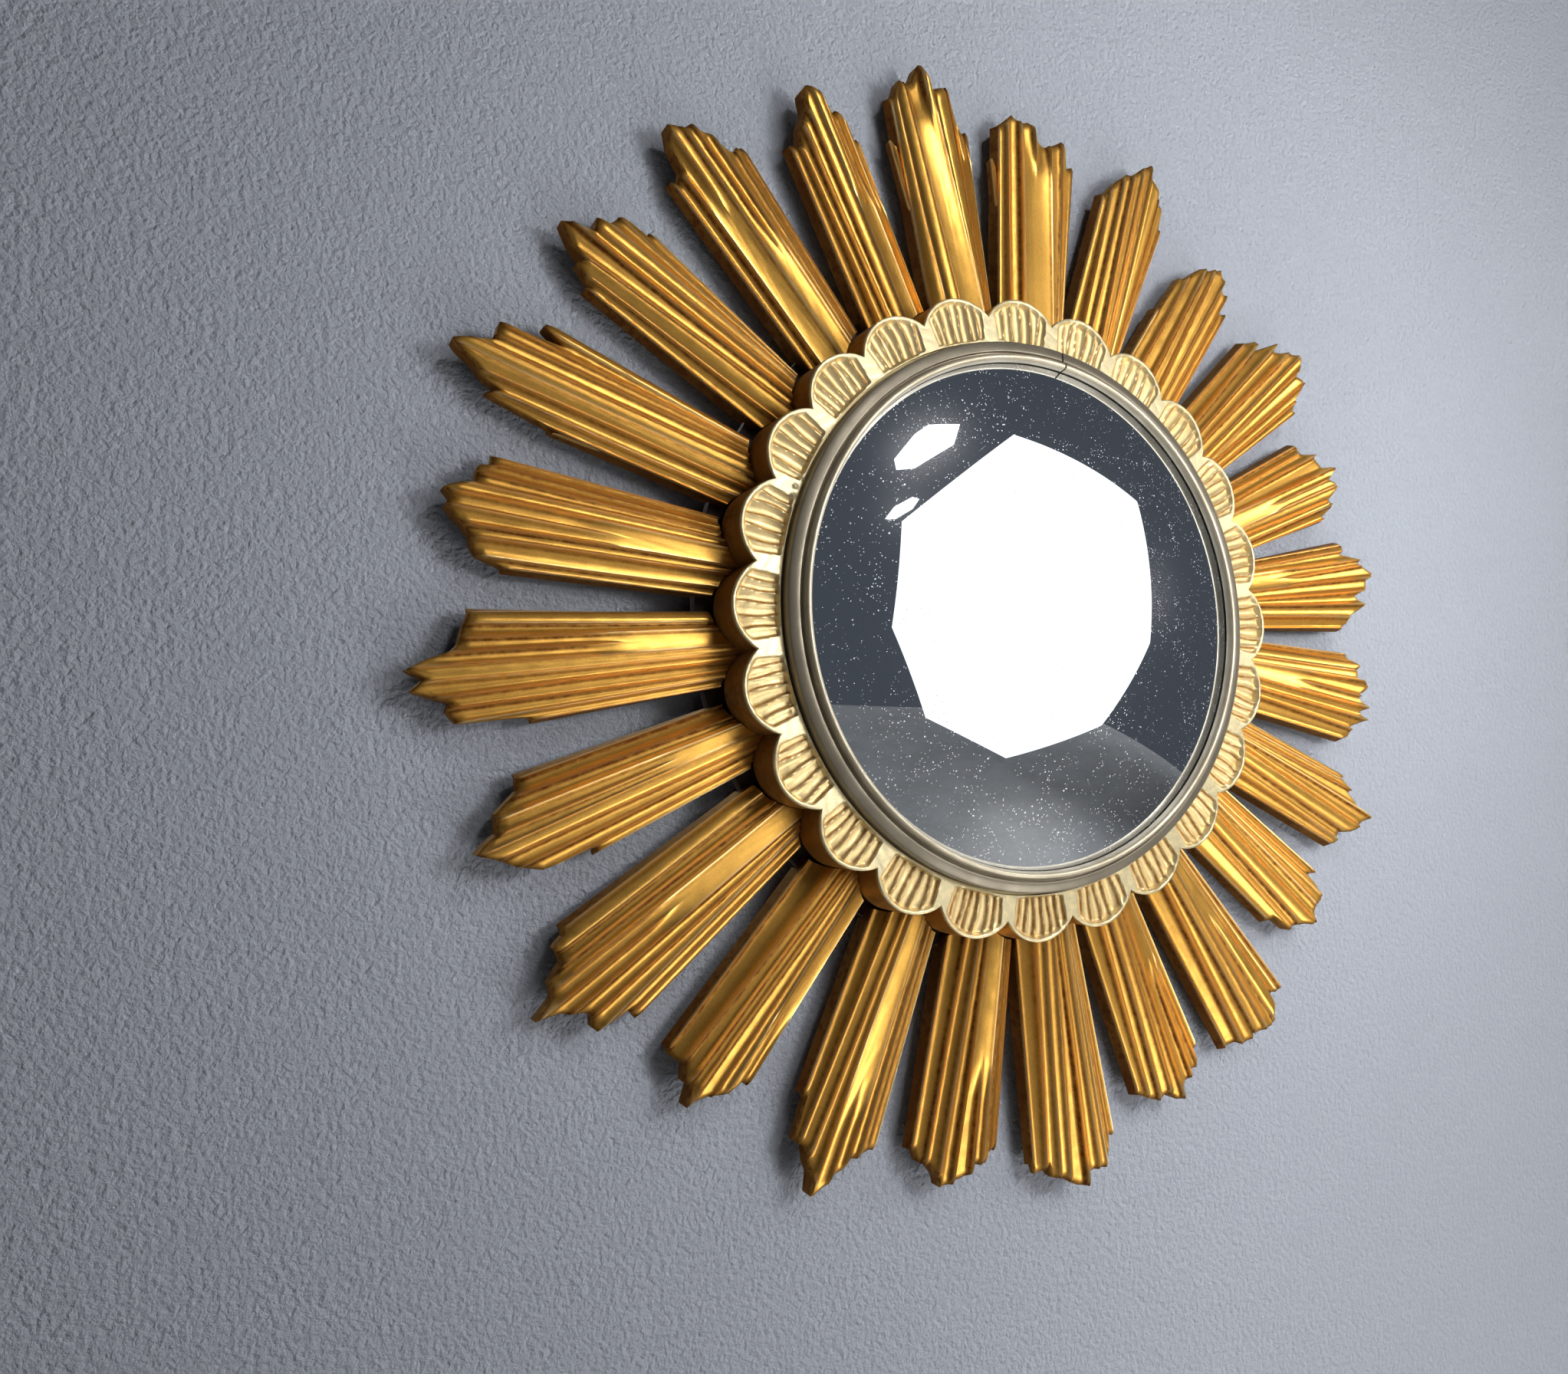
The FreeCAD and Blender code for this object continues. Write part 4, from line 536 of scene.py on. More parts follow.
def build_collar(material, fine):
    """The petal collar as one closed mesh."""
    cols = len(RAYS) * round(72 * fine)
    angle = np.arange(cols) * (math.tau / cols)
    rim = petal_rim(angle + PITCH / 2) * NOTCH_RADIUS
    inner, outer = np.linspace(0.12, 0.80, 18), np.linspace(0.83, 0.985, 14)
    ladder = np.concatenate([[0, 0.02, 0.05, 0.08], inner, outer, [0.993, 0.998, 1.0]])
    r = REBATE_RADIUS + (rim - REBATE_RADIUS)[:, None] * ladder[None, :]
    a = np.repeat(angle[:, None], len(ladder), axis=1)
    number = np.round(a / PITCH).astype(int) % len(RAYS)
    off = (a + PITCH / 2) % PITCH - PITCH / 2
    x = r * np.sin(off)
    out = r * np.cos(off) / NOTCH_RADIUS
    to_rim = RIM_RADIUS_SHARE * NOTCH_RADIUS - np.hypot(x, out * NOTCH_RADIUS - RIM_CENTRE_SHARE * NOTCH_RADIUS)
    sink = np.zeros_like(r)
    groove = np.zeros_like(r)
    worn = np.zeros_like(r)
    for petal in range(len(RAYS)):
        mask = number == petal
        sink[mask], groove[mask], worn[mask] = petal_flutes(x[mask], out[mask], to_rim[mask], petal)
    for degrees, share in BEADS:
        turn = math.radians(degrees)
        aside = r * np.sin(a) - share * NOTCH_RADIUS * math.sin(turn)
        above = r * np.cos(a) - share * NOTCH_RADIUS * math.cos(turn)
        sink -= BEAD_HEIGHT * np.exp(-(np.hypot(aside, above) / BEAD_WIDTH) ** 2)
    lip = 0.0006 * (1 - np.clip(to_rim / 0.0007, 0, 1)) ** 2
    roll = 0.0010 * smooth_step((out - 1.0) / 0.075)
    dent = TOOL_MARK * wave_noise(a * 7.0 + r * 90.0, DENT_SEED, 9.0)
    depth = RIM_DEPTH - sink - lip - roll + np.minimum(dent, 0)
    top = np.stack([r * np.sin(a), -depth, r * np.cos(a)], axis=-1)
    bottom = top.copy()
    bottom[..., 1] = -COLLAR_BACK
    verts, faces, downs = slab(top, bottom, steps=8, closed=True)
    return new_mesh("carved_collar", verts, faces, wear_layers(groove, worn, downs), material)


def lathe(name, profile, start, sweep, cols, material, wobble=0.0):
    """A closed profile of (radius, depth) pairs swept about the mirror's axis, as a closed mesh."""
    profile = np.array(profile)
    count = len(profile)
    full = sweep >= math.tau - 1e-6
    verts = []
    for angle in start + np.linspace(0, sweep, cols, endpoint=not full):
        shift = wobble * math.sin(3 * angle + 0.7) + wobble * 0.6 * math.sin(7 * angle)
        rr = profile[:, 0] + shift
        verts.append(np.stack([rr * math.sin(angle), -profile[:, 1], rr * math.cos(angle)], axis=-1))
    faces = []
    for i in range(cols if full else cols - 1):
        here, beside = i * count, (i + 1) % cols * count
        for k in range(count):
            m = (k + 1) % count
            faces.append((here + k, here + m, beside + m, beside + k))
    if not full:
        faces.append(tuple(range(count))[::-1])
        faces.append(tuple((cols - 1) * count + k for k in range(count)))
    return new_mesh(name, np.concatenate(verts), faces, {}, material, sharp_degrees=40.0)


def build_bezel(material):
    """The bezel strip with its flange, bead and butt joint."""
    gap = math.radians(BEZEL_GAP_DEGREES)
    start = math.radians(BEZEL_JOINT_DEGREES) + gap / 2
    piece = lathe("metal_bezel", BEZEL_SECTION, start, math.tau - gap, 361, material, wobble=0.00005)
    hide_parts("bezel_ring")


def build_glass(material):
    """The convex glass, smooth enough for clean reflections."""
    rings, cols = 72, 192
    reach = (GLASS_RADIUS ** 2 + GLASS_RISE ** 2) / (2 * GLASS_RISE)
    centre = GLASS_EDGE_DEPTH + GLASS_RISE - reach
    verts = []
    for thick in (0.0, GLASS_THICK):
        verts.append((0.0, -(centre + reach - thick), 0.0))
        for ring in range(1, rings + 1):
            r = GLASS_RADIUS * ring / rings
            depth = centre + math.sqrt(reach * reach - r * r) - thick
            for col in range(cols):
                angle = math.tau * col / cols
                verts.append((r * math.sin(angle), -depth, r * math.cos(angle)))
    shell = 1 + rings * cols
    faces = []
    for base in (0, shell):
        for col in range(cols):
            nxt = (col + 1) % cols
            fan = [(base, base + 1 + nxt, base + 1 + col)]
            for ring in range(rings - 1):
                a = base + 1 + ring * cols
                b = a + cols
                fan.append((a + col, a + nxt, b + nxt, b + col))
            faces += [face[::-1] for face in fan] if base else fan
    rim = 1 + (rings - 1) * cols
    for col in range(cols):
        nxt = (col + 1) % cols
        faces.append((rim + col, rim + nxt, shell + rim + nxt, shell + rim + col))
    piece = new_mesh("convex_glass", verts, faces, {}, material)
    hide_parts("mirror_glass")


def feed(tree, node, values):
    """Give a node its inputs, as pairs of a socket and its source or value."""
    for key, value in values:
        if isinstance(value, bpy.types.NodeSocket):
            tree.links.new(value, node.inputs[key])
        else:
            node.inputs[key].default_value = value


def add(tree, kind, values=(), **options):
    """A new shader node with its options and inputs."""
    node = tree.nodes.new("ShaderNode" + kind)
    for key, value in options.items():
        setattr(node, key, value)
    feed(tree, node, values)
    return node


def object_place(tree):
    """The place of a point in its object, in metres."""
    return add(tree, "TexCoord").outputs["Object"]


def noise(tree, place, scale, detail, rough):
    """A noise value along a place."""
    values = [("Vector", place), ("Scale", scale), ("Detail", detail), ("Roughness", rough)]
    return add(tree, "TexNoise", values).outputs["Fac"]


def stretched(tree, place, **values):
    """A place that is turned or scaled."""
    given = [(key.capitalize(), value) for key, value in values.items()]
    return add(tree, "Mapping", [("Vector", place), *given]).outputs["Vector"]


def maths(tree, operation, first, second=0.0, clamp=False):
    """A maths node's value."""
    return add(tree, "Math", [(0, first), (1, second)], operation=operation, use_clamp=clamp).outputs[0]


def times(tree, first, second, clamp=False):
    """Two values multiplied."""
    return maths(tree, "MULTIPLY", first, second, clamp)


def ramp(tree, value, low, high, first=0.0, last=1.0):
    """A value mapped from one range to another, clamped."""
    values = [("Value", value), ("From Min", low), ("From Max", high), ("To Min", first), ("To Max", last)]
    return add(tree, "MapRange", values).outputs["Result"]


def rgba(colour, share=1.0):
    """A colour with its alpha, its channels multiplied by one share or by three."""
    return (*np.minimum(1, np.array(colour) * share), 1)


def mix_colour(tree, share, first, second):
    """One colour blended into another."""
    return add(tree, "Mix", [(0, share), (6, first), (7, second)], data_type="RGBA").outputs[2]


def make_gilding_group():
    """Old gilding: leaf with a fine speckle, brown patina in the grooves with painted shade beside the crests, dark
    sides, and bright worn arrises that on the rays are also painted highlights.
    """
    tree = bpy.data.node_groups.new("gilding_wear", "ShaderNodeTree")
    for way, kind, labels in (
        ("INPUT", "NodeSocketColor", ("Leaf", "Bright", "Patina")),
        ("INPUT", "NodeSocketFloat", ("Groove", "Worn", "Down", "Side start", "Metal")),
        ("OUTPUT", "NodeSocketColor", ("Base Color",)),
        ("OUTPUT", "NodeSocketFloat", ("Roughness", "Metallic", "Height")),
    ):
        for label in labels:
            tree.interface.new_socket(label, in_out=way, socket_type=kind)
    given = tree.nodes.new("NodeGroupInput").outputs
    place = object_place(tree)
    speckle = noise(tree, place, 1100.0, 3.0, 0.7)
    mottle = noise(tree, place, 210.0, 6.0, 0.65)
    cloud = noise(tree, place, 26.0, 3.0, 0.5)
    groove = maths(tree, "POWER", given["Groove"], 1.3, clamp=True)
    # This mask carries the rays' painted shade band as well as the patina in the hollows.
    dirt = times(tree, groove, ramp(tree, mottle, 0.3, 0.7, 0.7, 1.15), clamp=True)
    side = times(tree, ramp(tree, given["Down"], 0.0, given["Side start"]), ramp(tree, cloud, 0.3, 0.7, 0.88, 1.0))
    dirt = maths(tree, "MAXIMUM", dirt, side, clamp=True)
    # Worn arrises in the bright colour; on the rays they are painted highlights too.
    arris = times(tree, given["Worn"], ramp(tree, mottle, 0.30, 0.55, 0.35, 1.0))
    leaf = mix_colour(tree, ramp(tree, cloud, 0.35, 0.7, 0.0, 0.16), given["Leaf"], given["Patina"])
    leaf = mix_colour(tree, ramp(tree, speckle, 0.50, 0.72, 0.0, 0.26), leaf, given["Patina"])
    leaf = mix_colour(tree, times(tree, arris, 0.85), leaf, given["Bright"])
    rough = maths(tree, "ADD", ramp(tree, mottle, 0.3, 0.7, 0.27, 0.36), times(tree, dirt, 0.2))
    matt = times(tree, maths(tree, "SUBTRACT", 1.0, given["Metal"]), 0.25)
    feed(tree, tree.nodes.new("NodeGroupOutput"), [
        ("Base Color", mix_colour(tree, dirt, leaf, given["Patina"])),
        ("Roughness", maths(tree, "ADD", rough, matt)),
        ("Metallic", times(tree, ramp(tree, dirt, 0.0, 1.0, 1.0, 0.75), given["Metal"])),
        ("Height", maths(tree, "ADD", times(tree, speckle, 0.5), times(tree, mottle, 0.9))),
    ])
    return tree


def start_material(name):
    """A node material with its Principled shader."""
    material = bpy.data.materials.new(name)
    material.use_nodes = True
    return material, material.node_tree, material.node_tree.nodes["Principled BSDF"]


def bump(tree, height, distance, strength=1.0):
    """The normal of a bump from a height, as a shader's input."""
    values = [("Height", height), ("Distance", distance), ("Strength", strength)]
    return "Normal", add(tree, "Bump", values).outputs["Normal"]


def finish_surface(tree, source):
    """Put a shader's output on the surface in place of the plain one."""
    feed(tree, tree.nodes["Material Output"], [("Surface", source.outputs[0])])


def make_gilding(name, leaf, bright, patina, side_start, metal):
    """A gilt material whose leaf, bright colour for worn lines and painted highlights, and patina colour are given.
    """
    material, tree, shader = start_material(name)
    group = add(tree, "Group")
    group.node_tree = bpy.data.node_groups.get("gilding_wear") or make_gilding_group()
    feed(tree, group, [("Leaf", rgba(leaf)), ("Bright", rgba(bright)), ("Patina", rgba(patina))])
    feed(tree, group, [("Side start", side_start), ("Metal", metal)])
    for key in ("groove", "worn", "down"):
        layer = add(tree, "Attribute", attribute_name=key)
        feed(tree, group, [(key.capitalize(), layer.outputs["Fac"])])
    feed(tree, shader, [(label, group.outputs[label]) for label in ("Base Color", "Roughness", "Metallic")])
    feed(tree, shader, [("Specular Tint", (1.0, 0.80, 0.45, 1)), bump(tree, group.outputs["Height"], 0.00009, 0.7)])
    return material


def make_bezel_metal(colour):
    """Worn plated strip: scuffed in patches, the flange darker than the bead, and painted shade in the groove and, at
    half strength, on the outer wall.
    """
    material, tree, shader = start_material("bezel_metal")
    place = object_place(tree)
    fine = noise(tree, place, 900.0, 4.0, 0.7)
    broad = noise(tree, place, 40.0, 5.0, 0.6)
    tint = mix_colour(tree, ramp(tree, broad, 0.35, 0.7, 0.0, 0.6), rgba(colour), rgba(colour, (0.55, 0.5, 0.45)))
    tint = mix_colour(tree, ramp(tree, fine, 0.62, 0.75, 0.0, 0.5), tint, (0.85, 0.76, 0.6, 1))
    flat = add(tree, "VectorMath", [(0, place), (1, (1.0, 0.0, 1.0))], operation="MULTIPLY").outputs["Vector"]
    radius = add(tree, "VectorMath", [(0, flat)], operation="LENGTH").outputs["Value"]
    # Painted shade: dark in the groove and half as dark on the outer wall; the flange is dark too, and only the bead
    # stays light.
    shade = times(tree, ramp(tree, radius, 0.1464, 0.1472), ramp(tree, radius, 0.1535, 0.1539, 1.0, 0.5))
    shade = times(tree, shade, ramp(tree, broad, 0.3, 0.7, 0.75, 1.0))
    feed(tree, shader, [
        ("Base Color", mix_colour(tree, shade, tint, (0.17, 0.145, 0.105, 1))),
        ("Roughness", ramp(tree, broad, 0.3, 0.7, 0.36, 0.48)),
        ("Metallic", 0.62),
        bump(tree, fine, 0.00004),
    ])
    return material


def make_mirror(colour):
    """Silvered glass with a dusty film, specks in patches and fine scratches."""
    material, tree, shader = start_material("mirror_silver")
    place = object_place(tree)
    patches = noise(tree, place, 34.0, 4.0, 0.65)
    specks = 0.0
    for scale, size, low in ((300.0, 0.17, 0.50), (640.0, 0.22, 0.46)):
        dust = add(tree, "TexVoronoi", [("Vector", place), ("Scale", scale)]).outputs["Distance"]
        sparse = noise(tree, place, scale * 0.24, 3.0, 0.6)
        layer = times(tree, ramp(tree, dust, size, size * 0.4), ramp(tree, sparse, low, low + 0.13))
        layer = times(tree, layer, ramp(tree, patches, 0.42, 0.62, 0.25, 1.0))
        specks = maths(tree, "MAXIMUM", layer, specks)
    for turn, stretch in ((0.5, (1400.0, 1.0, 30.0)), (-0.9, (1700.0, 1.0, 24.0))):
        mapped = stretched(tree, stretched(tree, place, rotation=(0.0, turn, 0.0)), scale=stretch)
        line = ramp(tree, noise(tree, mapped, 1.0, 2.0, 0.5), 0.745, 0.79, 0.0, 0.3)
        line = times(tree, line, ramp(tree, patches, 0.5, 0.6))
        specks = maths(tree, "MAXIMUM", line, specks, clamp=True)
    film = ramp(tree, noise(tree, place, 12.0, 4.0, 0.6), 0.35, 0.7, 0.0, 0.25)
    silver = mix_colour(tree, film, rgba(colour), rgba(colour, (0.8, 0.8, 0.84)))
    feed(tree, shader, [
        ("Base Color", mix_colour(tree, specks, silver, (0.8, 0.8, 0.8, 1))),
        ("Metallic", maths(tree, "SUBTRACT", 1.0, times(tree, specks, 0.7))),
        ("Roughness", times(tree, maths(tree, "GREATER_THAN", specks, 0.12), 0.55)),
        ("Coat Weight", 0.4),
        ("Coat Roughness", 0.22),
    ])
    return material


def make_plain(name, colour, rough, metallic, scale, stretch=(1, 1, 1), depth=0.0002):
    """A plain workshop material with grain along one direction and uneven tone."""
    material, tree, shader = start_material(name)
    place = object_place(tree)
    grain = noise(tree, stretched(tree, place, scale=stretch), scale, 6.0, 0.65)
    blotch = noise(tree, place, 30.0, 3.0, 0.5)
    tint = mix_colour(tree, ramp(tree, grain, 0.3, 0.7, 0.0, 0.6), rgba(colour), rgba(colour, 0.55))
    feed(tree, shader, [
        ("Base Color", mix_colour(tree, ramp(tree, blotch, 0.45, 0.75, 0.0, 0.35), tint, rgba(colour, 1.3))),
        ("Roughness", ramp(tree, grain, 0.3, 0.7, rough - 0.06, rough + 0.08)),
        ("Metallic", metallic),
        bump(tree, grain, depth),
    ])
    return material


# The wall's front behind the mirror's back, and how short a light ray goes through the wall, in metres.
WALL_FRONT = 0.0003
WALL_GAP = 0.0072


def make_wall_paint(colour):
    """Pale painted wall, seen from the front only, that lets light in behind the mirror."""
    material, tree, shader = start_material("wall_paint")
    grain = noise(tree, object_place(tree), 300.0, 4.0, 0.55)
    tint = mix_colour(tree, ramp(tree, grain, 0.3, 0.7), rgba(colour), rgba(colour, 0.9))
    feed(tree, shader, [("Base Color", tint), ("Roughness", 0.75), bump(tree, grain, 0.0028)])
    path = add(tree, "LightPath").outputs
    facing = add(tree, "NewGeometry").outputs["Backfacing"]
    behind = times(tree, facing, path["Is Camera Ray"])
    near = maths(tree, "LESS_THAN", path["Ray Length"], WALL_GAP)
    near = times(tree, near, maths(tree, "SUBTRACT", 1.0, path["Is Camera Ray"]))
    shallow = maths(tree, "LESS_THAN", path["Ray Depth"], 1.5)
    lit = times(tree, maths(tree, "MAXIMUM", near, path["Is Shadow Ray"]), shallow)
    hole = add(tree, "BsdfTransparent").outputs[0]
    clear = maths(tree, "MAXIMUM", behind, lit)
    finish_surface(tree, add(tree, "MixShader", [(0, clear), (1, shader.outputs[0]), (2, hole)]))
    return material


def make_lamp_cloth(glow, hot, cool, middle):
    """A lamp's front: even where it is seen in the glass, and from hot at its middle to cool as light. Without
    a glow it isn't seen in the glass."""
    material, tree, shader = start_material("lamp_cloth")
    shader.inputs["Base Color"].default_value = (0, 0, 0, 1)
    reach = add(tree, "VectorMath", [(0, object_place(tree)), (1, tuple(middle))], operation="DISTANCE")
    in_glass = add(tree, "LightPath").outputs["Is Singular Ray"]
    light = ramp(tree, reach.outputs["Value"], 0.05, 0.17, hot, cool)
    even = times(tree, maths(tree, "SUBTRACT", glow, light), in_glass)
    shine = add(tree, "Emission", [("Strength", maths(tree, "ADD", light, even))]).outputs[0]
    facing = add(tree, "NewGeometry").outputs["Backfacing"]
    mix = add(tree, "MixShader", [(0, facing), (1, shine), (2, shader.outputs[0])])
    if not glow:
        hole = add(tree, "BsdfTransparent").outputs[0]
        mix = add(tree, "MixShader", [(0, in_glass), (1, mix.outputs[0]), (2, hole)])
    finish_surface(tree, mix)
    return material


# The CAD nodes that stay, by material: what make_plain is given, and the nodes.
PLAIN_MATERIALS = {
    # The hub's near-black is a dark stain and painted shade where it shows between the ray roots under the collar.
    "stained_ply": (((0.045, 0.022, 0.010), 0.6, 0.0, 60.0, (1, 1, 14)), ["hub_ring"]),
    "plain_ply": (((0.55, 0.40, 0.24), 0.65, 0.0, 60.0, (1, 20, 1)), ["packing_ring"]),
    "hardboard": (((0.28, 0.17, 0.09), 0.7, 0.0, 260.0), ["backing_board"]),
    "grey_felt": (((0.10, 0.10, 0.10), 0.95, 0.0, 800.0, (1, 1, 1), 0.0005), ["glass_felt"]),
    "nickel_steel": (((0.62, 0.58, 0.50), 0.32, 1.0, 500.0, (1, 1, 1), 0.00003), ["hanger_strap", "hanger_ring"]),
    "zinc_steel": (
        ((0.60, 0.60, 0.58), 0.35, 1.0, 500.0, (1, 1, 1), 0.00003),
        ["hanger_screw_1", "hanger_screw_2", *(f"collar_screw_{k}" for k in range(1, 9))],
    ),
    "black_rubber": (((0.035, 0.035, 0.035), 0.7, 0.0, 400.0), [f"wall_bumper_{k}" for k in range(1, 5)]),
}


def dress_carried_nodes():
    """Give the CAD nodes that stay their materials."""
    for name, (look, nodes) in PLAIN_MATERIALS.items():
        material = make_plain(name, *look)
        for node in nodes:
            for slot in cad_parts[node].material_slots:
                slot.material = material


CAMERA_PLACE = Vector((-0.40939, -0.58079, -0.07730))
CAMERA_RIGHT = Vector((0.90244, -0.43030, -0.02095))
CAMERA_UP = Vector((-0.00734, -0.06396, 0.99793))
FOCAL_SHARE = 1535.55 / 2045
SENSOR_WIDTH = 36.0


def place_camera():
    """The camera at the photograph's place and angle."""
    data = bpy.data.cameras.new("camera")
    data.sensor_width = SENSOR_WIDTH
    data.lens = SENSOR_WIDTH * FOCAL_SHARE
    data.clip_start = 0.01
    camera = linked_object("camera", data)
    right = CAMERA_RIGHT.normalized()
    back = right.cross(CAMERA_UP).normalized()
    turn = Matrix((right, back.cross(right), back)).transposed()
    camera.matrix_world = Matrix.Translation(CAMERA_PLACE) @ turn.to_4x4()
    bpy.context.scene.camera = camera


def stage_mesh(name, corners, material):
    """A flat stage piece, its corners anticlockwise as seen from its front."""
    mesh = bpy.data.meshes.new(name)
    mesh.from_pydata([tuple(c) for c in corners], [], [tuple(range(len(corners)))])
    mesh.materials.append(material)
    piece = linked_object(name, mesh)
    return piece


# The lamps' outlines in their own planes, in metres: towards the left and up from the middle.
LAMP_TARGET = Vector((-0.03, -0.078, 0.004))
KEY_OUTLINE = (
    (-0.122, 0.434), (-0.498, 0.256), (-0.461, -0.088), (-0.301, -0.303), (0.003, -0.428), (0.284, -0.339),
    (0.391, -0.069), (0.306, 0.237),
)
FILL_OUTLINE = (
    (0.159, -0.03), (0.048, 0.055), (-0.016, 0.084), (-0.137, 0.078), (-0.086, 0.0), (0.093, -0.077), (0.165, -0.073),
)
SMALL_OUTLINE = ((0.064, -0.039), (0.021, 0.007), (-0.057, 0.045), (-0.083, 0.036), (-0.05, -0.003), (0.022, -0.041))
SIDE_OUTLINE = ((0.25, 0.25), (-0.25, 0.25), (-0.25, -0.25), (0.25, -0.25))

# The wall and the floor, in metres.
WALL_SIDE = 4
WALL_TOP = 2.4
FLOOR_LEVEL = -1.1
FLOOR_FRONT = -5


def build_lamp(name, toward, distance, outline, cloth):
    """A flat lamp that faces the glass from a distance, out of sight. The cloth gives its glow in the glass
    and its light at the middle and the rim."""
    toward = Vector(toward).normalized()
    middle = LAMP_TARGET + toward * distance
    side = toward.cross(Vector((0, 0, 1))).normalized()
    up = side.cross(toward).normalized()
    corners = [middle + side * along + up * high for along, high in outline]
    lamp = stage_mesh(name, corners, make_lamp_cloth(*cloth, middle))
    lamp.visible_camera = False


def build_back_light():
    """A weak sun on the mirror's back, for views from behind."""
    sun = bpy.data.lights.new("back_lamp", "SUN")
    sun.energy = 1.6
    sun.angle = 0.6
    back = linked_object("back_lamp", sun)
    back.location = (0, 1, 0.3)
    back.rotation_euler = Vector((0.25, 1, 0.35)).normalized().to_track_quat("Z", "Y").to_euler()
    back.visible_camera = False


def build_world():
    """The room: dim in front, bright behind the mirror, a little lighter in the glass and plain to the camera."""
    world = bpy.data.worlds.new("room")
    world.use_nodes = True
    tree = world.node_tree
    direction = add(tree, "TexCoord").outputs["Generated"]
    parts = add(tree, "SeparateXYZ", [(0, direction)]).outputs
    path = add(tree, "LightPath").outputs
    room = mix_colour(tree, ramp(tree, parts["Z"], -0.5, 0.4), (0.014, 0.014, 0.016, 1), (0.010, 0.011, 0.014, 1))
    room = mix_colour(tree, path["Is Singular Ray"], room, (0.085, 0.094, 0.108, 1))
    room = mix_colour(tree, ramp(tree, parts["Y"], -0.05, 0.1), room, (0.75, 0.76, 0.78, 1))
    seen = mix_colour(tree, path["Is Camera Ray"], room, (0.62, 0.63, 0.65, 1))
    feed(tree, tree.nodes["Background"], [("Color", seen)])
    bpy.context.scene.world = world


def build_stage(wall_colour, lamp_strength, fill_strength, side_strength):
    """The wall, the floor, the lamps, the world and the camera."""
    low_left, low_right = (-WALL_SIDE, WALL_FRONT, FLOOR_LEVEL), (WALL_SIDE, WALL_FRONT, FLOOR_LEVEL)
    wall_corners = [low_left, low_right, (WALL_SIDE, WALL_FRONT, WALL_TOP), (-WALL_SIDE, WALL_FRONT, WALL_TOP)]
    stage_mesh("wall", wall_corners, make_wall_paint(wall_colour))
    front_corners = [(-WALL_SIDE, FLOOR_FRONT, FLOOR_LEVEL), (WALL_SIDE, FLOOR_FRONT, FLOOR_LEVEL)]
    floor = make_plain("floor_paint", (0.85, 0.84, 0.80), 0.6, 0.0, 3.0)
    stage_mesh("floor", [*front_corners, low_right, low_left], floor)
    key_light = (2.0, lamp_strength, lamp_strength * 0.04)
    far_light = (2.4, fill_strength, fill_strength)
    side_light = (0.0, side_strength, side_strength)
    low_light = (0.0, side_strength * 0.24, side_strength * 0.24)
    build_lamp("key_lamp", (0.461, -0.875, 0.149), 0.62, KEY_OUTLINE, key_light)
    build_lamp("fill_lamp", (0.18, -0.722, 0.668), 1.0, FILL_OUTLINE, far_light)
    build_lamp("small_lamp", (0.02, -0.878, 0.478), 1.0, SMALL_OUTLINE, far_light)
    build_lamp("side_lamp", (0.82, -0.52, 0.22), 2.0, SIDE_OUTLINE, side_light)
    build_lamp("low_lamp", (0.50, -0.60, -0.78), 1.15, SIDE_OUTLINE, low_light)
    build_back_light()
    build_world()
    bpy.context.scene.view_settings.view_transform = "Standard"
    place_camera()


def colour_setting(name, description, default):
    """A colour property with its name, description and default."""
    return bpy.props.FloatVectorProperty(name=name, description=description, subtype="COLOR", size=3, default=default)


class MirrorSettings(bpy.types.PropertyGroup):
    """The colours and amounts that the operators read."""

    ray_leaf: colour_setting("Ray leaf", "Gold of the rays", (0.95, 0.52, 0.105))
    # The rays' bright colour lies on worn crest lines that are also painted highlights.
    ray_bright: colour_setting("Ray arrises", "Worn gold of the rays", (0.95, 0.76, 0.42))
    # The rays' patina colour also fills the painted shade band beside each crest.
    ray_patina: colour_setting("Ray patina", "Brown in the grooves of the rays", (0.12, 0.032, 0.003))
    collar_leaf: colour_setting("Collar leaf", "Gold of the collar", (1.0, 0.82, 0.43))
    collar_bright: colour_setting("Collar pads", "Worn gold of the collar", (0.50, 0.44, 0.285))
    collar_patina: colour_setting("Collar wash", "Wash in the flutes of the collar", (0.30, 0.13, 0.02))
    bezel_colour: colour_setting("Bezel", "Plating of the bezel", (0.50, 0.44, 0.325))
    silver_colour: colour_setting("Silver", "Tint of the silvered glass", (0.60, 0.64, 0.70))
    wall_colour: colour_setting("Wall", "Paint of the wall", (0.36, 0.385, 0.435))
    lamp_strength: bpy.props.FloatProperty(
        name="Lamp", description="Light of the large lamp", default=24.0, min=0.0)
    fill_strength: bpy.props.FloatProperty(
        name="Fill", description="Light of the far lamps", default=28.5, min=0.0)
    side_strength: bpy.props.FloatProperty(
        name="Side lamp", description="Light of the lamp at the side", default=23.0, min=0.0)
    fineness: bpy.props.FloatProperty(
        name="Fineness", description="Share of the full mesh detail", default=1.0, min=0.2, max=1.0, subtype="FACTOR")


def settings():
    """The scene's settings."""
    return bpy.context.scene.sunburst_mirror


class MIRROR_OT_rays(bpy.types.Operator):
    """Build the carved rays"""

    bl_idname = "mirror.build_rays"
    bl_label = "Build rays"

    def execute(self, context):
        now = settings()
        gold = make_gilding("ray_gilding", now.ray_leaf, now.ray_bright, now.ray_patina, 0.30, 0.92)
        for number, (crests, outline) in enumerate(RAYS, start=1):
            build_ray(number, crests, outline, gold, now.fineness)
        for number, start, end in SIDE_REEDS:
            build_reed(number, start, end, gold)
        return {"FINISHED"}


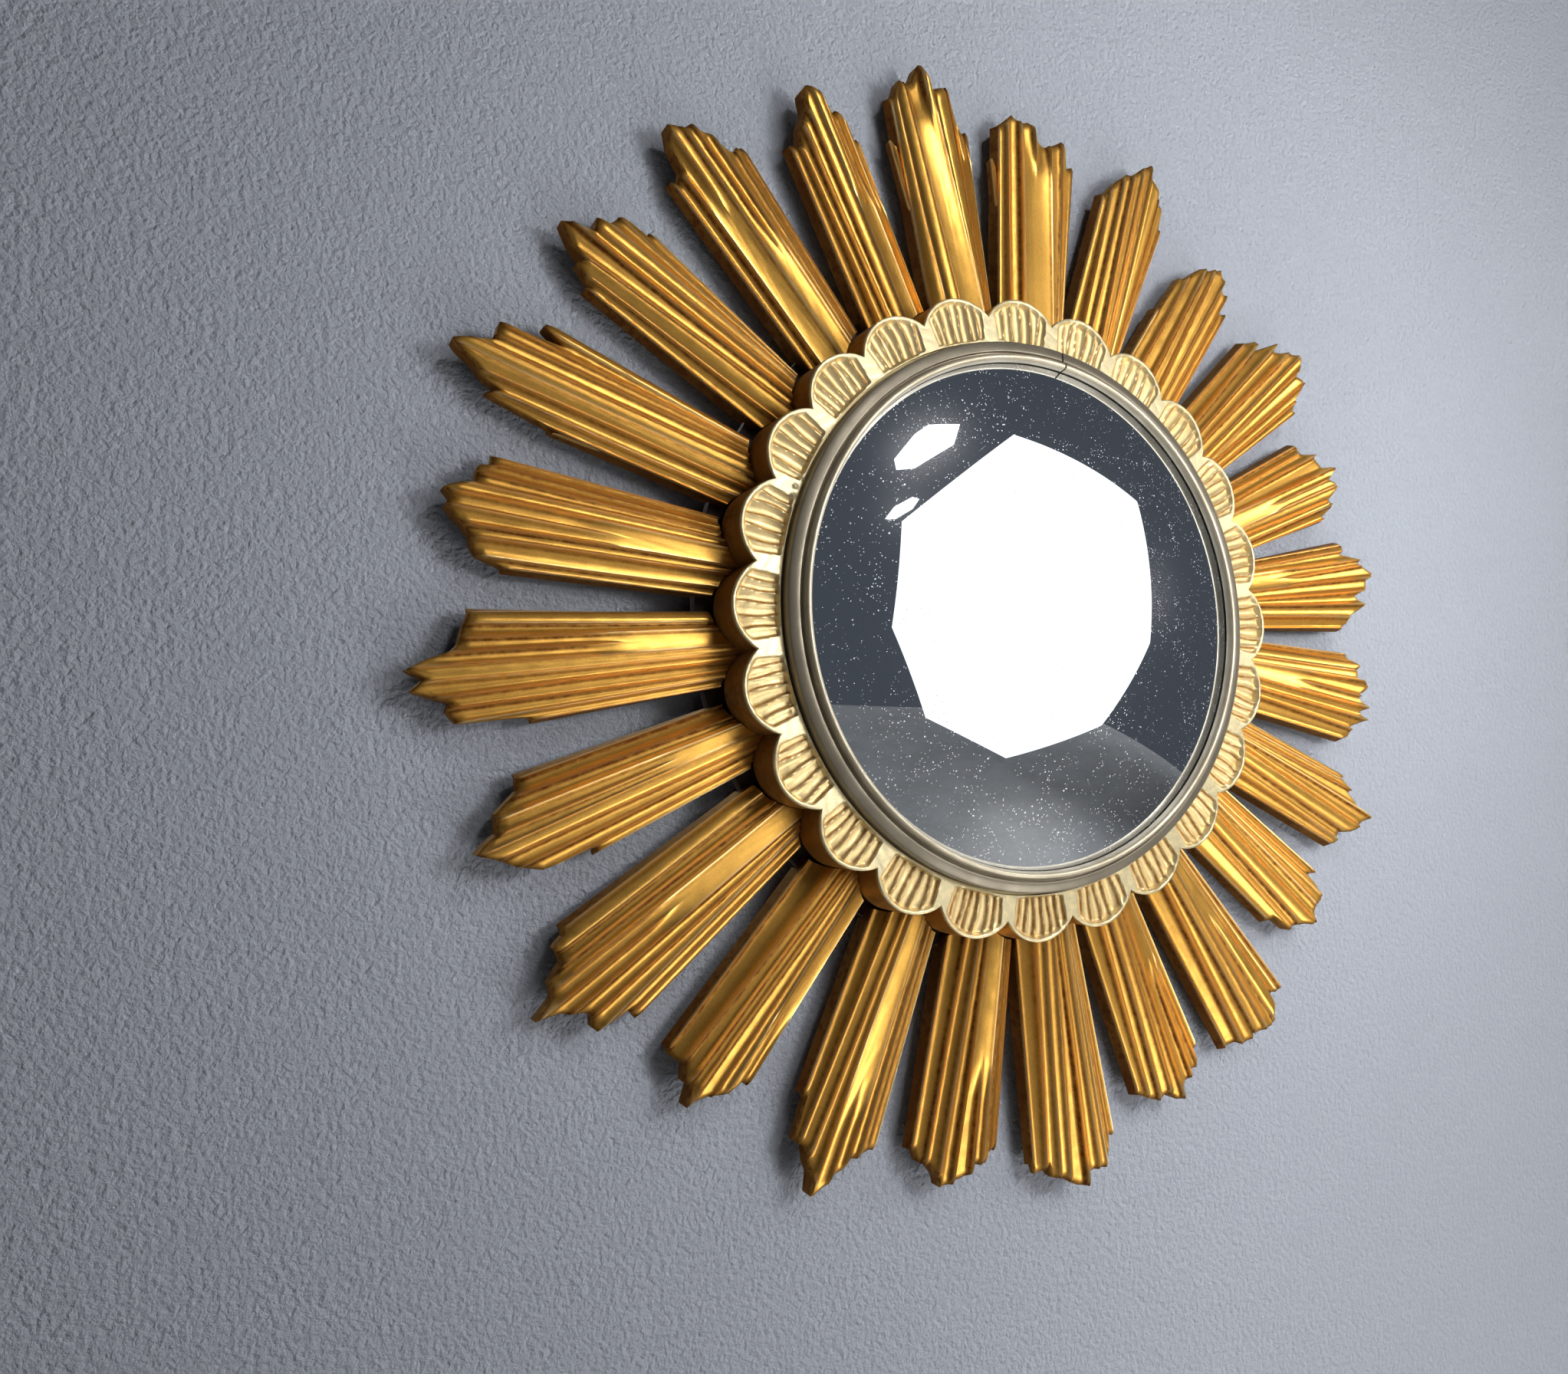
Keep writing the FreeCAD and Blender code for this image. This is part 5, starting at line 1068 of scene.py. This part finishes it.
class MIRROR_OT_collar(bpy.types.Operator):
    """Build the petal collar"""

    bl_idname = "mirror.build_collar"
    bl_label = "Build collar"

    def execute(self, context):
        now = settings()
        gold = make_gilding("collar_gilding", now.collar_leaf, now.collar_bright, now.collar_patina, 0.06, 0.7)
        collar = build_collar(gold, now.fineness)
        ring = lathe("collar_foot", FOOT_SECTION, 0.0, math.tau, 192, gold)
        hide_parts("petal_collar")
        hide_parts("petal_collar")
        return {"FINISHED"}


class MIRROR_OT_glass(bpy.types.Operator):
    """Build the bezel and the convex glass"""

    bl_idname = "mirror.build_glass"
    bl_label = "Build bezel and glass"

    def execute(self, context):
        now = settings()
        build_bezel(make_bezel_metal(now.bezel_colour))
        build_glass(make_mirror(now.silver_colour))
        return {"FINISHED"}


class MIRROR_OT_back(bpy.types.Operator):
    """Dress the hub, the backing and the hanger"""

    bl_idname = "mirror.dress_back"
    bl_label = "Dress the back"

    def execute(self, context):
        dress_carried_nodes()
        return {"FINISHED"}


class MIRROR_OT_stage(bpy.types.Operator):
    """Build the stage, the lamps and the camera"""

    bl_idname = "mirror.build_stage"
    bl_label = "Build stage"

    def execute(self, context):
        now = settings()
        build_stage(now.wall_colour, now.lamp_strength, now.fill_strength, now.side_strength)
        return {"FINISHED"}


class MIRROR_PT_panel(bpy.types.Panel):
    """The mirror's panel in the sidebar"""

    bl_idname = "MIRROR_PT_panel"
    bl_label = "Sunburst mirror"
    bl_space_type = "VIEW_3D"
    bl_region_type = "UI"
    bl_category = "Mirror"

    def draw(self, context):
        for key in MirrorSettings.__annotations__:
            self.layout.prop(settings(), key)
        for operator in OPERATORS:
            self.layout.operator(operator.bl_idname)


OPERATORS = (MIRROR_OT_rays, MIRROR_OT_collar, MIRROR_OT_glass, MIRROR_OT_back, MIRROR_OT_stage)
CLASSES = (MirrorSettings, *OPERATORS, MIRROR_PT_panel)


def register():
    """Register the classes and the settings."""
    for cls in CLASSES:
        bpy.utils.register_class(cls)
    bpy.types.Scene.sunburst_mirror = bpy.props.PointerProperty(type=MirrorSettings)


def unregister():
    """Remove the settings and the classes."""
    del bpy.types.Scene.sunburst_mirror
    for cls in reversed(CLASSES):
        bpy.utils.unregister_class(cls)


def main():
    """Build every piece in order."""
    register()
    bpy.ops.mirror.build_rays()
    bpy.ops.mirror.build_collar()
    bpy.ops.mirror.build_glass()
    bpy.ops.mirror.dress_back()
    bpy.ops.mirror.build_stage()


if __name__ == "__main__":
    main()
